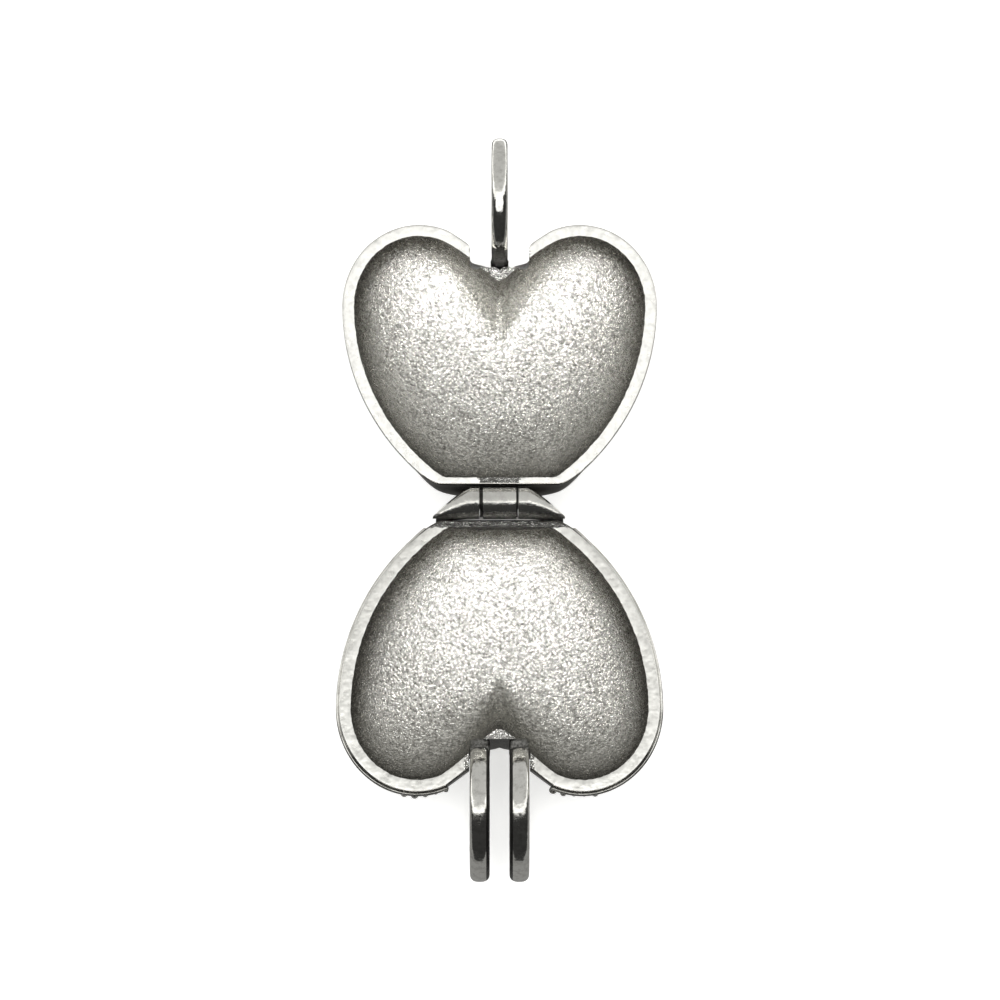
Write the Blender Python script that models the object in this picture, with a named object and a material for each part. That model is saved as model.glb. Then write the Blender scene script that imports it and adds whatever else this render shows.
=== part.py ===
"""A heart locket pendant, open flat on its two backs.

Two puffed heart shells are joined at their tips by a three-knuckle hinge. The back shell carries one
bail ring and the front shell carries two, so that the three rings line up and take one chain when the
locket is shut. Metres, +Z up. X runs along the hinge, the back half lies towards +Y and the front half
towards -Y, and the two domes rest on z = 0.
"""

import math

import bmesh
import bpy
from mathutils import Matrix, Vector
from mathutils.bvhtree import BVHTree

# Heart outline of a half, measured from the hinge axis towards the lobes.
HALF_WIDTH = 0.01108  # from the middle to the widest place of the rim
LOBE_RADIUS = 0.00540  # across the lobe; the middle of the lobe lies one radius in from the widest place
LOBE_STRETCH = 1.085  # the lobe is taller than it is wide by this much
LOBE_HEIGHT = 0.01430  # from the hinge axis to the widest place
TIP_HALF_WIDTH = 0.00436  # where the long arc of the side meets the front shell's cut tip
LOBE_SWEEP = math.radians(112)  # how far the lobe's own curve runs before the cleft begins
CLEFT_SLOPE = math.radians(44)  # the steepness of the two flanks where they meet in the cleft
BACK_CLEFT_DEPTH = 0.00331  # from the tops of the lobes down to the bottom of the cleft, on each half
FRONT_CLEFT_DEPTH = 0.00356
TIP_CORNER = 0.00065  # length cut from each tip corner by its rounding

# Shell of a half.
RIM_WIDTH = 0.00083
TIP_WALL = 0.00048
CLEFT_WALL = 0.00078
SHELL_DEPTH = 0.00555  # from the rim to the lowest point of the dome
FLOOR_THICKNESS = 0.00080
OUTER_FULLNESS = 2.5  # exponent of the dome's profile: 2 is a plain ellipse, more is fuller
INNER_FULLNESS = 2.25
WALL_BULGE = 0.00016  # how far the wall swells past the rim
TIP_BULGE = 0.00042  # the same at the tip, where the rim was cut back for the hinge
BULGE_DEPTH = 0.0020  # how far below the rim the swelling is largest
DOME_SETBACK = 0.0031  # from the widest place towards the hinge, to the lowest point of the dome
ROUND_HALF_WIDTH = 0.0090  # the oval section that the heart turns into towards the dome
ROUND_HEIGHT = 0.0082  # from the lowest point to the oval's edge on the lobes' side
ROUND_SHARE = 0.80  # how fully it does
CLEFT_FADE = 2.2  # how late the cleft fades on the way down, as an exponent of the depth
TIP_FADE = 0.8  # the same for the corners of the tip

# Notch in the cleft, where the rings stand.
NOTCH_CLEARANCE = 0.00002  # beside the feet of the front rings
NOTCH_DEPTH = 0.0040
NOTCH_CORNER = 0.00035
BACK_NOTCH_REACH = 0.00311  # from the tops of the lobes down to the notch's floor, on each half
FRONT_NOTCH_REACH = 0.00366

# Bail rings.
RING_RADIUS = 0.00462  # outside
RING_THICKNESS = 0.00105  # in the plane of the ring
BACK_RING_WIDTH = 0.00114
FRONT_RING_WIDTH = 0.00134
RING_PASS_CLEARANCE = 0.00011  # each side of the back ring where it passes between the front rings
RING_FOOT_GAP = 0.00003  # from the back ring to the floor of its notch
FOOT_DROP = 0.0011  # how far a ring's foot reaches below the rim
FOOT_FLARE = 0.00006  # how much wider than its ring a foot is, on each side
FOOT_EMBED = 0.0007  # how far a foot runs into its ring

# Hinge.
KNUCKLE_RADIUS = 0.00108
KNUCKLE_GAP = 0.00014
CENTRE_KNUCKLE_WIDTH = 0.00232
SIDE_KNUCKLE_STRAIGHT = 0.00060  # the full-size part of each outer knuckle
SIDE_KNUCKLE_TAPER = 0.00265  # the part that runs out to a point along the tip
TAPER_END_RADIUS = 0.00008
PIN_RADIUS = 0.00040
PIN_CLEARANCE = 0.00005
PIN_EMBED = 0.0010  # how far the pin runs into each outer knuckle
WEB_LENGTH = 0.00031  # of the web that joins the centre knuckle to the back shell's tip
WEB_HEIGHT = 0.00070
TIP_CLEARANCE = 0.00008  # between the knuckles and the front shell's tip
RIM_CLEARANCE = 0.00008  # between the two rims when the locket is shut
SOLDER_GAP = 0.00003

# Ornament on the front half.
BORDER_WIRE_RADIUS = 0.00013
BORDER_WIRE_DEPTH = 0.00052
SCROLL_WIRE_RADIUS = 0.00016
LOBE_SCROLL_SHIFT = (-0.00018, 0.0011)  # from the middle of the lobe to the middle of its scroll
LOBE_SCROLL_RADII = (0.0024, 0.0006)
TIP_SCROLL_CENTRE = (0.0039, 0.0057)
TIP_SCROLL_RADII = (0.0018, 0.0005)
BEAD_RADIUS = 0.00027
BEAD_COUNT = 5
BEAD_DEPTH = 0.00135
BEAD_FIRST = math.radians(111)  # places round the lobe
BEAD_LAST = math.radians(80)
ORNAMENT_GAP = 0.00003

# Smoothness of the solids.
TIP_POINTS = 3
CORNER_POINTS = 3
SIDE_POINTS = 8
LOBE_POINTS = 9
CLEFT_POINTS = 4
LEVELS = 10
RING_STEPS = 40
SCROLL_STEPS = 30
ROUND_STEPS = 20

# Places that follow from the sizes above.
RIM_HEIGHT = SHELL_DEPTH
AXIS_HEIGHT = RIM_HEIGHT + RIM_CLEARANCE / 2
LOBE_X = HALF_WIDTH - LOBE_RADIUS
LOBE_TOP = LOBE_HEIGHT + LOBE_RADIUS * LOBE_STRETCH
BACK_TIP = KNUCKLE_RADIUS + WEB_LENGTH  # where the tip is cut off beside the hinge, on each half
FRONT_TIP = KNUCKLE_RADIUS + TIP_CLEARANCE
SIDE_INSET = HALF_WIDTH - TIP_HALF_WIDTH
SIDE_RADIUS = ((LOBE_HEIGHT - FRONT_TIP) ** 2 + SIDE_INSET**2) / (2 * SIDE_INSET)
BACK_CLEFT = LOBE_TOP - BACK_CLEFT_DEPTH
FRONT_CLEFT = LOBE_TOP - FRONT_CLEFT_DEPTH
BACK_NOTCH_FLOOR = LOBE_TOP - BACK_NOTCH_REACH
FRONT_NOTCH_FLOOR = LOBE_TOP - FRONT_NOTCH_REACH
RING_GAP = BACK_RING_WIDTH + 2 * RING_PASS_CLEARANCE  # between the two front rings
NOTCH_WIDTH = RING_GAP + 2 * (FRONT_RING_WIDTH + FOOT_FLARE + NOTCH_CLEARANCE)
RING_CENTRE = BACK_NOTCH_FLOOR + RING_FOOT_GAP + RING_RADIUS
DOME_CENTRE = LOBE_HEIGHT - DOME_SETBACK
LOBE_SCROLL_CENTRE = (LOBE_X + LOBE_SCROLL_SHIFT[0], LOBE_HEIGHT + LOBE_SCROLL_SHIFT[1])
# Each scroll is its centre, its outer and inner radius, the angle where it starts and its turns.
LOBE_SCROLL = (LOBE_SCROLL_CENTRE, *LOBE_SCROLL_RADII, math.radians(215), -1.35)
TIP_SCROLL = (TIP_SCROLL_CENTRE, *TIP_SCROLL_RADII, math.radians(235), 1.20)
BACK, FRONT = 1, -1


def clear_scene():
    for item in list(bpy.data.objects):
        bpy.data.objects.remove(item, do_unlink=True)


def metal(name, colour, roughness):
    material = bpy.data.materials.new(name)
    material.use_nodes = True
    shader = material.node_tree.nodes["Principled BSDF"]
    shader.inputs["Base Color"].default_value = (*colour, 1.0)
    shader.inputs["Roughness"].default_value = roughness
    shader.inputs["Metallic"].default_value = 1.0
    return material


def object_from(name, shape, material, smooth=math.radians(35)):
    """One object from a bmesh, with its faces turned outwards."""
    bmesh.ops.recalc_face_normals(shape, faces=shape.faces)
    mesh = bpy.data.meshes.new(name)
    shape.to_mesh(mesh)
    shape.free()
    mesh.shade_smooth()
    mesh.set_sharp_from_angle(angle=smooth)
    mesh.materials.append(material)
    item = bpy.data.objects.new(name, mesh)
    bpy.context.collection.objects.link(item)
    return item


def boolean(item, cutter, operation):
    cutter.hide_render = True
    cutter.display_type = "WIRE"
    step = item.modifiers.new(operation.lower(), "BOOLEAN")
    step.operation = operation
    step.object = cutter
    step.solver = "EXACT"


def arc(start, end, count):
    """Angles from start towards end, without the last one."""
    return [start + (end - start) * i / count for i in range(count)]


def quadratic(a, b, c, t):
    return tuple(a[k] * (1 - t) ** 2 + b[k] * 2 * t * (1 - t) + c[k] * t * t for k in range(len(a)))


def half_outline(inset, tip, cleft):
    """The right side of the heart, from the middle of the tip to the bottom of the cleft.

    inset moves the sides and lobes inwards; tip and cleft are the two ends on the middle line.
    """
    across = LOBE_RADIUS - inset
    along = LOBE_RADIUS * LOBE_STRETCH - inset
    side_x = HALF_WIDTH - SIDE_RADIUS
    side_radius = SIDE_RADIUS - inset
    corner = max(TIP_CORNER - inset * 0.5, TIP_CORNER * 0.25)
    low_angle = math.asin((tip + corner - LOBE_HEIGHT) / side_radius)
    tip_angle = math.asin((tip - LOBE_HEIGHT) / side_radius)
    tip_x = side_x + side_radius * math.cos(tip_angle)
    low_point = (side_x + side_radius * math.cos(low_angle), tip + corner)
    points = [((tip_x - corner) * i / TIP_POINTS, tip) for i in range(TIP_POINTS)]
    for i in range(CORNER_POINTS):
        points.append(quadratic((tip_x - corner, tip), (tip_x, tip), low_point, i / CORNER_POINTS))
    for angle in arc(low_angle, 0, SIDE_POINTS):
        points.append((side_x + side_radius * math.cos(angle), LOBE_HEIGHT + side_radius * math.sin(angle)))
    for angle in arc(0, LOBE_SWEEP, LOBE_POINTS):
        points.append((LOBE_X + across * math.cos(angle), LOBE_HEIGHT + along * math.sin(angle)))
    shoulder = (LOBE_X + across * math.cos(LOBE_SWEEP), LOBE_HEIGHT + along * math.sin(LOBE_SWEEP))
    bend_x = shoulder[0] * 0.5
    bend = (bend_x, cleft + bend_x * math.tan(CLEFT_SLOPE))
    for i in range(CLEFT_POINTS):
        points.append(quadratic(shoulder, bend, (0.0, cleft), i / CLEFT_POINTS))
    points.append((0.0, cleft))
    return points


def heart_outline(inset, tip, cleft):
    right = half_outline(inset, tip, cleft)
    left = [(-x, y) for x, y in reversed(right[1:-1])]
    return right + left


def dome_point(point, tip, level, depth, fullness, bulge):
    """A rim point carried down the dome: level 0 is the rim and 1 is the lowest point."""
    turn = level * math.pi / 2
    shrink = max(math.cos(turn), 0.0) ** (2 / fullness)
    drop = math.sin(turn) ** (2 / fullness)
    x, y = point[0], point[1] - DOME_CENTRE
    length = math.hypot(x, y)
    towards_tip = (1 - y / length) / 2
    rounding = ROUND_SHARE * drop ** (CLEFT_FADE + (TIP_FADE - CLEFT_FADE) * towards_tip)
    upright = DOME_CENTRE - tip if y < 0 else ROUND_HEIGHT
    oval = length / math.hypot(x / ROUND_HALF_WIDTH, y / upright)
    reach = length + (oval - length) * rounding
    swell = math.sin(min(drop * depth / BULGE_DEPTH, 2.0) * math.pi / 2) ** 2
    tipness = max(0.0, 1 - (x / (0.55 * HALF_WIDTH)) ** 2) if point[1] < 3 * tip else 0.0
    reach = (reach + bulge * swell) * shrink
    outward = bulge / WALL_BULGE * TIP_BULGE * tipness * swell * shrink
    return Vector((x / length * reach, DOME_CENTRE + y / length * reach - outward, -drop * depth))


def bridge(shape, lower, upper):
    count = len(lower)
    for i in range(count):
        j = (i + 1) % count
        shape.faces.new((lower[i], lower[j], upper[j], upper[i]))


def dome(shape, outline, tip, depth, fullness, bulge):
    """Vertex loops from the rim down, closed at the lowest point; returns the rim's loop."""
    loops = []
    for step in range(LEVELS):
        level = (step / LEVELS) ** 1.5
        loops.append([shape.verts.new(dome_point(p, tip, level, depth, fullness, bulge)) for p in outline])
    pole = shape.verts.new((0.0, DOME_CENTRE, -depth))
    for upper, lower in zip(loops, loops[1:]):
        bridge(shape, lower, upper)
    for i, vertex in enumerate(loops[-1]):
        shape.faces.new((vertex, loops[-1][(i + 1) % len(outline)], pole))
    return loops[0]


def place_half(shape, side):
    """Puts a half drawn towards +Y, with its rim at z = 0, on its own side of the hinge."""
    turn = Matrix.Rotation(0 if side == BACK else math.pi, 4, "Z")
    bmesh.ops.transform(shape, matrix=Matrix.Translation((0, 0, RIM_HEIGHT)) @ turn, verts=shape.verts)


def shell_shape(tip, cleft):
    shape = bmesh.new()
    outer = dome(shape, heart_outline(0.0, tip, cleft), tip, SHELL_DEPTH, OUTER_FULLNESS, WALL_BULGE)
    inner_outline = heart_outline(RIM_WIDTH, tip + TIP_WALL, cleft - CLEFT_WALL)
    inner_depth = SHELL_DEPTH - FLOOR_THICKNESS
    inner = dome(shape, inner_outline, tip + TIP_WALL, inner_depth, INNER_FULLNESS, 0.0)
    bridge(shape, outer, inner)
    return shape


def notch_cutter(name, floor, side):
    """A tall block with rounded inner corners that opens the cleft."""
    half = NOTCH_WIDTH / 2
    reach = LOBE_TOP + NOTCH_WIDTH
    outline = [(half, reach), (-half, reach)]
    for centre_x, start in ((-half + NOTCH_CORNER, math.pi), (half - NOTCH_CORNER, 1.5 * math.pi)):
        for i in range(CORNER_POINTS + 1):
            angle = start + math.pi / 2 * i / CORNER_POINTS
            outline.append(
                (
                    centre_x + NOTCH_CORNER * math.cos(angle),
                    floor + NOTCH_CORNER + NOTCH_CORNER * math.sin(angle),
                )
            )
    shape = prism([Vector((x, y, -NOTCH_DEPTH)) for x, y in outline], Vector((0, 0, NOTCH_DEPTH * 1.5)))
    place_half(shape, side)
    return object_from(name, shape, bpy.data.materials["tool"])


def prism(outline, extrusion):
    shape = bmesh.new()
    face = shape.faces.new([shape.verts.new(p) for p in outline])
    grown = bmesh.ops.extrude_face_region(shape, geom=[face])
    moved = [v for v in grown["geom"] if isinstance(v, bmesh.types.BMVert)]
    bmesh.ops.translate(shape, vec=extrusion, verts=moved)
    return shape


def make_shell(name, side, tip, cleft, floor, material):
    shape = shell_shape(tip, cleft)
    place_half(shape, side)
    shell = object_from(name, shape, material)
    boolean(shell, notch_cutter(name + "_notch_tool", floor, side), "DIFFERENCE")
    return shell


def ring_section(width):
    """The wire's section: flat cheeks, a softly crowned outer face and a rounder inner one.

    Each point is (across, out), where out is measured inwards from the ring's outer edge.
    """
    half = width / 2
    points = [(-1.0, 0.26), (-0.86, 0.07), (-0.42, 0.0), (0.42, 0.0), (0.86, 0.07), (1.0, 0.26)]
    points += [(1.0, 0.66), (0.72, 0.93), (0.30, 1.0), (-0.30, 1.0), (-0.72, 0.93), (-1.0, 0.66)]
    return [(across * half, out * RING_THICKNESS) for across, out in points]


def make_ring(name, x, width, floor, side, material):
    shape = bmesh.new()
    section = ring_section(width)
    loops = []
    for i in range(RING_STEPS):
        angle = 2 * math.pi * (i + 0.5) / RING_STEPS
        loop = []
        for across, out in section:
            radius = RING_RADIUS - out
            y = RING_CENTRE - radius * math.cos(angle)
            loop.append(shape.verts.new((x * side + across, y, radius * math.sin(angle))))
        loops.append(loop)
    for i, loop in enumerate(loops):
        bridge(shape, loop, loops[(i + 1) % RING_STEPS])
    place_half(shape, side)
    ring = object_from(name, shape, material)
    boolean(ring, foot_tool(name + "_foot_tool", x, width, floor, side), "UNION")
    return ring


def foot_tool(name, x, width, floor, side):
    """The block of metal that joins a ring to the floor of its notch."""
    start = floor + SOLDER_GAP
    near = RING_CENTRE - RING_RADIUS + FOOT_EMBED
    half = width / 2 + FOOT_FLARE
    side_view = [(start, -FOOT_DROP), (near, -FOOT_DROP), (near, 0.0), (start, 0.0)]
    outline = [Vector((x * side - half, y, z)) for y, z in side_view]
    shape = prism(outline, Vector((2 * half, 0, 0)))
    place_half(shape, side)
    return object_from(name, shape, bpy.data.materials["tool"])


def cylinder_shape(radius, start, end):
    """A round bar along X, centred on the hinge axis."""
    outline = []
    for i in range(ROUND_STEPS):
        angle = 2 * math.pi * i / ROUND_STEPS
        outline.append(Vector((start, radius * math.cos(angle), AXIS_HEIGHT + radius * math.sin(angle))))
    return prism(outline, Vector((end - start, 0, 0)))


def bore_tool(name, start, end):
    shape = cylinder_shape(PIN_RADIUS + PIN_CLEARANCE, start, end)
    return object_from(name, shape, bpy.data.materials["tool"])


def make_centre_knuckle(material):
    """A barrel whose lower back runs out to meet the back shell's tip, just below the rims."""
    half = CENTRE_KNUCKLE_WIDTH / 2
    web_top = -RIM_CLEARANCE
    start = math.asin(web_top / KNUCKLE_RADIUS)
    end = 2 * math.pi - math.asin((WEB_HEIGHT - web_top) / KNUCKLE_RADIUS)
    outline = []
    for i in range(ROUND_STEPS + 1):
        angle = start + (end - start) * i / ROUND_STEPS
        outline.append((KNUCKLE_RADIUS * math.cos(angle), KNUCKLE_RADIUS * math.sin(angle)))
    level = wall_level(WEB_HEIGHT, SHELL_DEPTH, OUTER_FULLNESS)
    wall = dome_point((0.0, BACK_TIP), BACK_TIP, level, SHELL_DEPTH, OUTER_FULLNESS, WALL_BULGE)
    outline.append((wall.y - SOLDER_GAP, web_top - WEB_HEIGHT))
    outline.append((wall.y - SOLDER_GAP, web_top))
    points = [Vector((-half, y, AXIS_HEIGHT + z)) for y, z in outline]
    knuckle = object_from("centre_knuckle", prism(points, Vector((2 * half, 0, 0))), material)
    boolean(knuckle, bore_tool("centre_bore_tool", -CENTRE_KNUCKLE_WIDTH, CENTRE_KNUCKLE_WIDTH), "DIFFERENCE")
    return knuckle


def make_side_knuckle(name, direction, material):
    """A barrel that tapers outwards to a point along the front shell's tip."""
    inner_end = CENTRE_KNUCKLE_WIDTH / 2 + KNUCKLE_GAP
    stations = [(inner_end, KNUCKLE_RADIUS), (inner_end + SIDE_KNUCKLE_STRAIGHT, KNUCKLE_RADIUS)]
    for i in range(1, LEVELS):
        run = i / (LEVELS - 1)
        radius = TAPER_END_RADIUS + (KNUCKLE_RADIUS - TAPER_END_RADIUS) * (1 - run**1.35)
        stations.append((inner_end + SIDE_KNUCKLE_STRAIGHT + SIDE_KNUCKLE_TAPER * run, radius))
    shape = bmesh.new()
    loops = []
    for x, radius in stations:
        loop = []
        for i in range(ROUND_STEPS):
            angle = 2 * math.pi * i / ROUND_STEPS
            y = radius * math.cos(angle) - (KNUCKLE_RADIUS - radius)
            loop.append(shape.verts.new((x * direction, y, AXIS_HEIGHT + radius * math.sin(angle))))
        loops.append(loop)
    for lower, upper in zip(loops, loops[1:]):
        bridge(shape, lower, upper)
    shape.faces.new(loops[0])
    shape.faces.new(loops[-1])
    knuckle = object_from(name, shape, material)
    bore_end = inner_end + PIN_EMBED + PIN_CLEARANCE
    ends = sorted((direction * inner_end * 0.5, direction * bore_end))
    boolean(knuckle, bore_tool(name + "_bore_tool", *ends), "DIFFERENCE")
    return knuckle


def make_pin(material):
    half = CENTRE_KNUCKLE_WIDTH / 2 + KNUCKLE_GAP + PIN_EMBED
    return object_from("hinge_pin", cylinder_shape(PIN_RADIUS, -half, half), material)


def wire_shape(points, radius, steps=8):
    """A round wire along points, with flat ends."""
    shape = bmesh.new()
    loops = []
    across = None
    for i, point in enumerate(points):
        before = points[max(i - 1, 0)]
        after = points[min(i + 1, len(points) - 1)]
        forward = (after - before).normalized()
        if across is None:
            across = forward.orthogonal().normalized()
        across = (across - forward * across.dot(forward)).normalized()
        side = forward.cross(across)
        loop = []
        for k in range(steps):
            angle = 2 * math.pi * k / steps
            loop.append(shape.verts.new(point + (across * math.cos(angle) + side * math.sin(angle)) * radius))
        loops.append(loop)
    for lower, upper in zip(loops, loops[1:]):
        bridge(shape, lower, upper)
    shape.faces.new(loops[0])
    shape.faces.new(loops[-1])
    return shape


def wall_level(drop, depth, fullness):
    """The level at which the dome has gone down by drop."""
    return math.asin((drop / depth) ** (fullness / 2)) * 2 / math.pi


def wall_point(point, outward, drop, stand_off):
    """A place beside the front wall, drop below the rim and stand_off out from it."""
    level = wall_level(drop, SHELL_DEPTH, OUTER_FULLNESS)
    place = dome_point(point, FRONT_TIP, level, SHELL_DEPTH, OUTER_FULLNESS, WALL_BULGE)
    return place + outward * stand_off


def make_border_wire(name, direction, material):
    """A thin wire on the front wall, from the shoulder of the lobe round to the tip corner."""
    outline = half_outline(0.0, FRONT_TIP, FRONT_CLEFT)
    start = TIP_POINTS + CORNER_POINTS
    points = []
    for i in range(start, start + SIDE_POINTS + LOBE_POINTS + 1):
        along = Vector(outline[i + 1]) - Vector(outline[i - 1])
        outward = Vector((along.y, -along.x, 0)).normalized()
        place = wall_point(outline[i], outward, BORDER_WIRE_DEPTH, BORDER_WIRE_RADIUS + ORNAMENT_GAP)
        points.append(Vector((place.x * direction, place.y, place.z)))
    shape = wire_shape(points, BORDER_WIRE_RADIUS)
    place_half(shape, FRONT)
    return object_from(name, shape, material)


def front_surface():
    """The front dome as a surface that plan points can be dropped onto, drawn towards +Y."""
    shape = shell_shape(FRONT_TIP, FRONT_CLEFT)
    bmesh.ops.recalc_face_normals(shape, faces=shape.faces)
    surface = BVHTree.FromBMesh(shape)
    shape.free()
    return surface


def on_dome(surface, x, y, stand_off):
    hit, normal, _, _ = surface.ray_cast(Vector((x, y, -2 * SHELL_DEPTH)), Vector((0, 0, 1)))
    return hit + normal * stand_off


def make_scroll(name, scroll, direction, surface, material):
    """A spiral of wire on the front dome."""
    centre, outer, inner, start, turns = scroll
    points = []
    for i in range(SCROLL_STEPS + 1):
        run = i / SCROLL_STEPS
        angle = start + 2 * math.pi * turns * run
        radius = outer + (inner - outer) * run
        x = centre[0] + radius * math.cos(angle)
        y = centre[1] + radius * math.sin(angle)
        place = on_dome(surface, x, y, SCROLL_WIRE_RADIUS + ORNAMENT_GAP)
        points.append(Vector((place.x * direction, place.y, place.z)))
    shape = wire_shape(points, SCROLL_WIRE_RADIUS)
    place_half(shape, FRONT)
    return object_from(name, shape, material)


def make_bead(name, direction, angle, material):
    rim_x = LOBE_X + LOBE_RADIUS * math.cos(angle)
    rim = (rim_x, LOBE_HEIGHT + LOBE_RADIUS * LOBE_STRETCH * math.sin(angle))
    outward = Vector((math.cos(angle) * LOBE_STRETCH, math.sin(angle), 0)).normalized()
    place = wall_point(rim, outward, BEAD_DEPTH, BEAD_RADIUS + ORNAMENT_GAP)
    shape = bmesh.new()
    bmesh.ops.create_icosphere(shape, subdivisions=1, radius=BEAD_RADIUS)
    bmesh.ops.translate(shape, vec=(place.x * direction, place.y, place.z), verts=shape.verts)
    place_half(shape, FRONT)
    return object_from(name, shape, material)


def hang_on_hinge(items):
    """The front half turns about an empty on the hinge axis."""
    hinge = bpy.data.objects.new("hinge_axis", None)
    hinge.location = (0, 0, AXIS_HEIGHT)
    bpy.context.collection.objects.link(hinge)
    bpy.context.view_layer.update()
    for item in items:
        item.parent = hinge
        item.matrix_parent_inverse = hinge.matrix_world.inverted()


def main():
    clear_scene()
    metal("tool", (0.5, 0.5, 0.5), 0.5)
    cast = metal("cast silver", (0.78, 0.77, 0.73), 0.42)
    polished = metal("polished silver", (0.80, 0.79, 0.75), 0.18)
    steel = metal("pin steel", (0.62, 0.61, 0.58), 0.30)
    dark = metal("oxidised silver", (0.30, 0.29, 0.27), 0.45)
    make_shell("back_shell", BACK, BACK_TIP, BACK_CLEFT, BACK_NOTCH_FLOOR, cast)
    make_centre_knuckle(polished)
    make_ring("back_ring", 0.0, BACK_RING_WIDTH, BACK_NOTCH_FLOOR, BACK, polished)
    ring_x = (RING_GAP + FRONT_RING_WIDTH) / 2
    moving = [make_shell("front_shell", FRONT, FRONT_TIP, FRONT_CLEFT, FRONT_NOTCH_FLOOR, cast)]
    moving.append(make_pin(steel))
    surface = front_surface()
    for word, direction in (("left", -1), ("right", 1)):
        moving.append(make_side_knuckle(word + "_knuckle", direction, polished))
        ring = make_ring(
            word + "_front_ring", ring_x * direction, FRONT_RING_WIDTH, FRONT_NOTCH_FLOOR, FRONT, polished
        )
        moving.append(ring)
        # The front half is drawn towards +Y and then turned round, which swaps its left and right.
        moving.append(make_border_wire(word + "_border_wire", -direction, polished))
        moving.append(make_scroll(word + "_lobe_scroll", LOBE_SCROLL, -direction, surface, dark))
        moving.append(make_scroll(word + "_tip_scroll", TIP_SCROLL, -direction, surface, dark))
        for i in range(BEAD_COUNT):
            angle = BEAD_FIRST + (BEAD_LAST - BEAD_FIRST) * i / (BEAD_COUNT - 1)
            moving.append(make_bead(f"{word}_bead_{i + 1}", -direction, angle, polished))
    hang_on_hinge(moving)


main()
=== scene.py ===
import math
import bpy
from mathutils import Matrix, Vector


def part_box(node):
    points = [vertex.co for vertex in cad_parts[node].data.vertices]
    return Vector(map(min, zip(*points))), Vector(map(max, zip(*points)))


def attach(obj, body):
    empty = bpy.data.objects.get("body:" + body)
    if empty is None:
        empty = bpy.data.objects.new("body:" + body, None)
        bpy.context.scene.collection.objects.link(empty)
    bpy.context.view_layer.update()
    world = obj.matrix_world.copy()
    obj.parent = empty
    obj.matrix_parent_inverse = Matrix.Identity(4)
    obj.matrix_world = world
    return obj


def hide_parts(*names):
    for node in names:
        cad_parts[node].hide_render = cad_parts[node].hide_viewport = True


bl_info = {
    "name": "Heart Locket",
    "version": (1, 0, 0),
    "blender": (4, 5, 0),
    "location": "View3D > Sidebar > Locket",
    "description": "Makes the finished surfaces of a heart locket pendant that lies open on its two backs",
    "category": "Object",
}

import bmesh
import bpy
from mathutils import Matrix, Vector, noise
from mathutils.bvhtree import BVHTree

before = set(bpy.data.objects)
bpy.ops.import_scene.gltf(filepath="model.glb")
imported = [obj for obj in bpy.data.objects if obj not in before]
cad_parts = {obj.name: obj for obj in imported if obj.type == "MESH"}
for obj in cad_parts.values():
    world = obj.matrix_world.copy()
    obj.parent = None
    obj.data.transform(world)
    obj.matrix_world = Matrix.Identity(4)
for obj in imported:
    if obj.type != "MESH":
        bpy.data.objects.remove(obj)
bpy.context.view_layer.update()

MM = 0.001
BACK, FRONT = 1, -1

# Heart outline, measured from the hinge axis towards the lobes. Only the cleft roundings aren't the solids' own.
LOBE_STRETCH = 1.085
LOBE_SWEEP = math.radians(112)
CLEFT_SLOPE = math.radians(44)
CLEFT_DEPTHS = {BACK: 3.31 * MM, FRONT: 3.56 * MM}
CLEFT_ROUNDINGS = {BACK: 0.35 * MM, FRONT: 0.85 * MM}
NOTCH_REACHES = {BACK: 3.11 * MM, FRONT: 3.66 * MM}
TIP_HALF_WIDTH = 4.36 * MM
TIP_CORNER = 0.65 * MM
TIP_WALL = 0.48 * MM
CLEFT_WALL = 0.78 * MM
TIP_GAPS = {BACK: 0.31 * MM, FRONT: 0.08 * MM}

# Dome of a half.
OUTER_FULLNESS = 2.5
INNER_FULLNESS = 2.25
WALL_BULGE = 0.16 * MM
TIP_BULGE = 0.80 * MM
BULGE_DEPTH = 2.0 * MM
DOME_SETBACK = 3.1 * MM
ROUND_HALF_WIDTH = 9.0 * MM
ROUND_HEIGHT = 8.2 * MM
ROUND_SHARE = 0.80
CLEFT_FADE = 2.2
INNER_CLEFT_FADE = 3.6
RIDGE_DROP = 0.85
RIDGE_SPREAD = 0.55
TIP_FADE = 0.8
TIP_SWELL_SHARE = 0.55

# Wall and rim of a half. The groove's stations are (drop below the rim, inset).
GROOVE = ((0.17 * MM, 0.0), (0.20 * MM, 0.045 * MM), (0.27 * MM, 0.05 * MM), (0.31 * MM, 0.0))
BELOW_GROOVE = 0.36 * MM
BOWL_EDGE_DROP = 0.012 * MM
RIM_SHARES = (0.22, 0.5, 0.8)
CASTING_WAVE = 1.3 * MM
CASTING_HEIGHT = 0.014 * MM
RAGGED_WAVE = 0.28 * MM
RAGGED_HEIGHT = 0.035 * MM

# Solder on the rims, and the painted shadow line at the hinge end of the front bowl.
TIP_SOLDER_REACHES = {BACK: 1.5 * MM, FRONT: 4.9 * MM}
TIP_SOLDER_OVERLAP = 0.05 * MM
CLEFT_SOLDER_OVERLAPS = {BACK: 0.02 * MM, FRONT: 0.30 * MM}
SOLDER_WOBBLE_WAVE = 0.35 * MM
SOLDER_WOBBLE = 0.15 * MM
SHADOW_LINE_REACH = 1.4 * MM
SHADOW_LINE_DEPTH = 0.8 * MM
SHADOW_LINE_HALF_WIDTH = 4.0 * MM

# Section of the ring wire: 2 is round, and more is squarer.
CHEEK_FULLNESS = 2.7
FACE_FULLNESS = 2.3

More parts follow.
